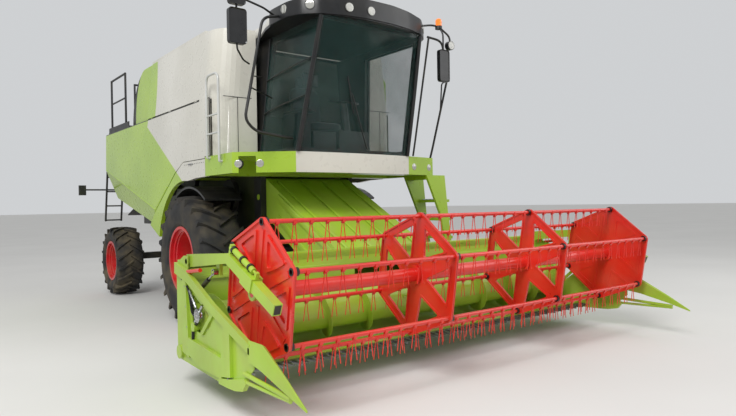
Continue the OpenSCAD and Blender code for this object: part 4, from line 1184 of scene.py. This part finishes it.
def mirror_head(mirrors, x0, x1, z0, z1, back, front):
    """A moulded head that narrows over its last 12 mm, away from its glass."""
    rim = rounded([(x0, z0), (x1, z0), (x1, z1), (x0, z1)], 38, 5)
    x, z = (x0 + x1) / 2, (z0 + z1) / 2
    mirrors.rings([
        [(p.x, back, p.y) for p in rim],
        [(p.x, front - 12, p.y) for p in rim],
        [(x + (p.x - x) * 0.9, front, z + (p.y - z) * 0.94) for p in rim],
    ])


def mirror_pieces():
    heads = Shape()
    mirror_head(heads, -1868, -1662, 3380, 3760, -2288, -2338)
    mirror_head(heads, -1860, -1670, 3800, 3960, -2288, -2338)
    mirror_head(heads, 972, 1150, 3240, 3660, -2560, -2606)
    piece("mirror_heads", heads, "chassis", "black_plastic")
    glasses = Shape()
    glasses.box((-1850, -2286, 3400), (-1680, -2284, 3740))
    glasses.box((-1845, -2286, 3815), (-1685, -2284, 3945))
    glasses.box((990, -2558, 3260), (1132, -2556, 3640))
    piece("mirror_glasses", glasses, "chassis", "chrome")


def grab_rail():
    """A pale hoop on the right side panel, with two rungs."""
    x, front, rear = -1537, -925, -1290
    hoop = [
        (-BX, front, 2262), (x, front, 2262), (x, front, 3300),
        (x, rear, 3300), (x, rear, 2200), (-BX, rear, 2200),
    ]
    grab = Shape().tube(hoop, 16, 110, 14)
    for z in (2560, 2790):
        grab.tube([(x, front, z), (x, rear, z)], 12)
    piece("pale_grab_rail", grab, "chassis", "grab_rail", (), 40)


def side_glass_bars():
    """Bars that bow out in front of the right side glass, which leans in by 3.7 degrees."""
    bars = Shape()
    for z, front, rear in ((3330, -2310, -1230), (2900, -2215, -1160)):
        x = -870 + (z - 2290) * math.tan(math.radians(3.7))
        bars.tube([(x - 26, front, z + 40), (x - 40, (front + rear) / 2, z), (x - 26, rear, z - 60)], 9, 300)
    piece("side_glass_bars", bars, "chassis", "black_steel", (), 40)


def corner_trims():
    """Trims over the cab's front and door posts, and along the foot of the side glass."""
    posts = Shape()
    posts.tube([(873, -2052, 2292), (826, -2262, 3070), (772, -2452, 3836)], 27, 900, 16)
    posts.tube([(876, -1085, 2296), (836, -1180, 2900), (782, -1260, 3836)], 12, 900)
    posts.tube([(876, -2040, 2300), (876, -1085, 2300)], 12)
    piece("cab_corner_trims", posts.both(), "chassis", "black_plastic", (), 40)


def windscreen_wiper():
    """An arm up the windscreen and the blade across its end."""
    wiper = Shape().tube([(120, -2150, 2330), (60, -2190, 2360), (-260, -2330, 3000)], 9)
    wiper.tube([(-330, -2345, 3200), (-190, -2262, 2760)], 7)
    piece("wiper", wiper, "chassis", "black_plastic", (), 40)


rails_and_arms()
mirror_pieces()
grab_rail()
side_glass_bars()
corner_trims()
windscreen_wiper()


# Cab inside: cushions, console, screen, column and steering wheel
def moulding(inside, low, high, r):
    """A moulded box from front to back, rounded by r and drawn in a little at its ends."""
    (x0, y0, z0), (x1, y1, z1) = low, high
    section = rounded([(x0, z0), (x1, z0), (x1, z1), (x0, z1)], r, 4)
    x, z = (x0 + x1) / 2, (z0 + z1) / 2
    rings = []
    for t, share in ((0, 0.9), (0.12, 0.98), (0.5, 1.0), (0.88, 0.98), (1, 0.9)):
        y = y0 + (y1 - y0) * t
        rings.append([(x + (p.x - x) * share, y, z + (p.y - z) * share) for p in section])
    inside.rings(rings)


def cushion(low, high, lean=0.0):
    """A stuffed cushion: a closed form, crowned between its seams, its sides pulled in between the corners.
    It leans back by lean for each millimetre up."""
    around, along, fullness = 40, 24, 0.45
    middle = [(a + b) / 2 for a, b in zip(low, high)]
    half = [(b - a) / 2 for a, b in zip(low, high)]
    rings = []
    for i in range(1, along):
        level, out = polar(1, 180 * i / along)
        ring = []
        for u, w in circle(out, around):
            full = [math.copysign(abs(c) ** fullness, c) for c in (u, level, w)]
            x, y, z = [m + h * f for m, h, f in zip(middle, half, full)]
            ring.append((x, y + (z - low[2]) * lean, z))
        rings.append(ring)
    return Shape().rings(rings)


def seat():
    cushions = (
        ("seat_base_cushion", cushion((-250, -1440, 2642), (250, -925, 2775))),
        ("seat_back_cushion", cushion((-240, -930, 2760), (240, -810, 3330), 0.14)),
        ("seat_headrest", cushion((-130, -835, 3335), (130, -750, 3480), 0.1)),
    )
    for name, shape in cushions:
        piece(name, shape, "chassis", "seat", (), 60)


def steering_wheel(inside):
    """A rim that slopes down to the driver's front, with three spokes."""
    y0, z0, radius, slope = -1780, 2990, 190, 0.2
    rim = circle(radius, 40)
    rings = []
    for a in (0, 1.05, 2.1, 3.15, 4.2, 5.25):
        wider = 1 + 0.08 * math.cos(a)
        rings.append([(x * wider, y0 + y * wider, z0 + 15 * math.sin(a) + y * slope) for x, y in rim])
    inside.rings(rings, closed=True)
    for a in (90, 210, 330):
        x, y = polar(radius - 5, a)
        inside.tube([(0, y0, z0 - 5), (x, y0 + y, z0 + y * slope)], 12, n=8)


def cab_fittings():
    floor_z = 2341
    inside = Shape()
    # Side console with its arm rest, and the screen on its stalk
    moulding(inside, (-450, -1440, floor_z), (-290, -930, 2900), 30)
    moulding(inside, (-425, -1600, 2860), (-305, -930, 2935), 24)
    inside.tube([(-370, -1500, 2890), (-420, -1640, 3250)], 16)
    moulding(inside, (-545, -1670, 3170), (-310, -1630, 3345), 20)
    # Steering column, the box under the seat, and the pedals' box
    inside.tube([(0, -1900, floor_z), (0, -1780, 2990)], 48, n=20)
    inside.box((-230, -1400, floor_z), (230, -950, 2640))
    inside.plan([(-240, -2020), (240, -2020), (180, -1860), (-180, -1860)], floor_z, 240)
    steering_wheel(inside)
    piece("cab_fittings", inside, "chassis", "black_plastic", ["cab_interior"], 40)


seat()
cab_fittings()


# Small parts: step treads, deck toe boards, rivets, and the bands of the unloading tube
def ladder_treads():
    """Five bars on each of the four steps, which are 270 mm apart and go out as they go down."""
    tread = Shape()
    for k in range(5):
        tread.box((0, k * 86, 0), (150, k * 86 + 14, 12))
    treads = [repeat(tread, "bare_steel", 4, (1570, -1950, 1690), (45, 0, -270))]
    piece("ladder_tread_strips", treads, "ladder", "bare_steel")


def toe_boards():
    """Upright boards round the service deck, at the sides and the rear."""
    low, high, rear = 3100, 3180, 4040
    toes = Shape()
    for s, _ in SIDES:
        toes.box((s * 1432 - 6, 2760, low), (s * 1432 + 6, rear, high))
    toes.box((-900, rear - 10, low), (1400, rear + 2, high))
    piece("deck_toe_boards", toes, "chassis", "black_steel")


def panel_rivets():
    """A row by each side panel's lower front, and one on each side of the straw hood, 60 mm apart."""
    rivets = []
    for s, _ in SIDES:
        for size, count, place in ((6, 12, (s * 1498, -700, 2225)), (7, 9, (s * 692, 4120, 1800))):
            rivets.append(repeat(bolt_head(size, (s, 0, 0)), "black_steel", count, place, (0, 60, 0)))
    piece("panel_rivets", rivets, "chassis", "black_steel")


def unloading_tube_bands():
    """Flanges round the tube where its lengths are bolted together, and the rubber boot at its mouth."""
    x, z = 1700, 3620
    section = [(163, 0), (178, 0), (178, 24), (163, 24)]
    flanges = Shape()
    for y in (60, 1300, 2600, 3900):
        rings = [[(x + r * s, y + out, z + r * c) for r, out in section] for c, s in circle(1, 48)]
        flanges.rings(rings, closed=True)
    piece("tube_flanges", flanges, "unloading_auger", "green_paint")
    boot = Shape().tube([(x, 4440, z), (x, 4575, z)], 174, n=40)
    piece("spout_boot", boot, "unloading_auger", "black_plastic")


ladder_treads()
toe_boards()
panel_rivets()
unloading_tube_bands()


# Floor, light and camera, in metres
def pale_floor():
    """Painted concrete: matt and pale, in clouds of 2.5 m."""
    bpy.ops.mesh.primitive_plane_add(size=400, location=(0, 0, 0))
    floor = bpy.context.object
    floor.name = "floor"
    mat, tree, shader, place = start("pale_floor", Roughness=0.9)
    fill(tree, shader, {"Base Color": two_shades(tree, clouds(tree, place, 2500), "#dad8d4", "#d5d3cf")})
    floor.data.materials.append(mat)


def overcast_sky():
    world = bpy.data.worlds.new("studio")
    scene.world = world
    world.use_nodes = True
    background = world.node_tree.nodes["Background"]
    background.inputs["Color"].default_value = (0.86, 0.88, 0.9, 1)
    background.inputs["Strength"].default_value = 0.72


def soft_light(name, place, aim, size, power):
    data = bpy.data.lights.new(name, "AREA")
    data.size = size
    data.energy = power
    lamp = bpy.data.objects.new(name, data)
    scene.collection.objects.link(lamp)
    lamp.location = place
    lamp.rotation_mode = "QUATERNION"
    lamp.rotation_quaternion = (Vector(aim) - Vector(place)).to_track_quat("-Z", "Y")


def photo_camera():
    """Stands where the photographer stood, solved from points in the photo."""
    focal_pixels, picture_width, sensor = 600.2, 736, 36
    yaw, pitch, roll = (math.radians(a) for a in (-37.71, -0.416, -0.936))
    forward = Vector((-math.sin(yaw) * math.cos(pitch), math.cos(yaw) * math.cos(pitch), math.sin(pitch)))
    level = forward.cross(Vector((0, 0, 1))).normalized()
    upright = level.cross(forward)
    right = level * math.cos(roll) + upright * math.sin(roll)
    up = upright * math.cos(roll) - level * math.sin(roll)
    camera = bpy.data.objects.new("camera", bpy.data.cameras.new("camera"))
    scene.collection.objects.link(camera)
    camera.data.sensor_width = sensor
    camera.data.lens = focal_pixels / picture_width * sensor
    camera.data.clip_end = 300
    turn = Matrix((right, up, -forward)).transposed().to_4x4()
    camera.matrix_world = Matrix.Translation((-4.620, -8.254, 1.646)) @ turn
    scene.camera = camera


pale_floor()
overcast_sky()
soft_light("key", (-9, -8, 12), (0, 0, 1.5), 6, 1500)
soft_light("fill", (9, -10, 7), (0, -2, 1.5), 8, 350)
photo_camera()
scene.view_settings.view_transform = "Standard"
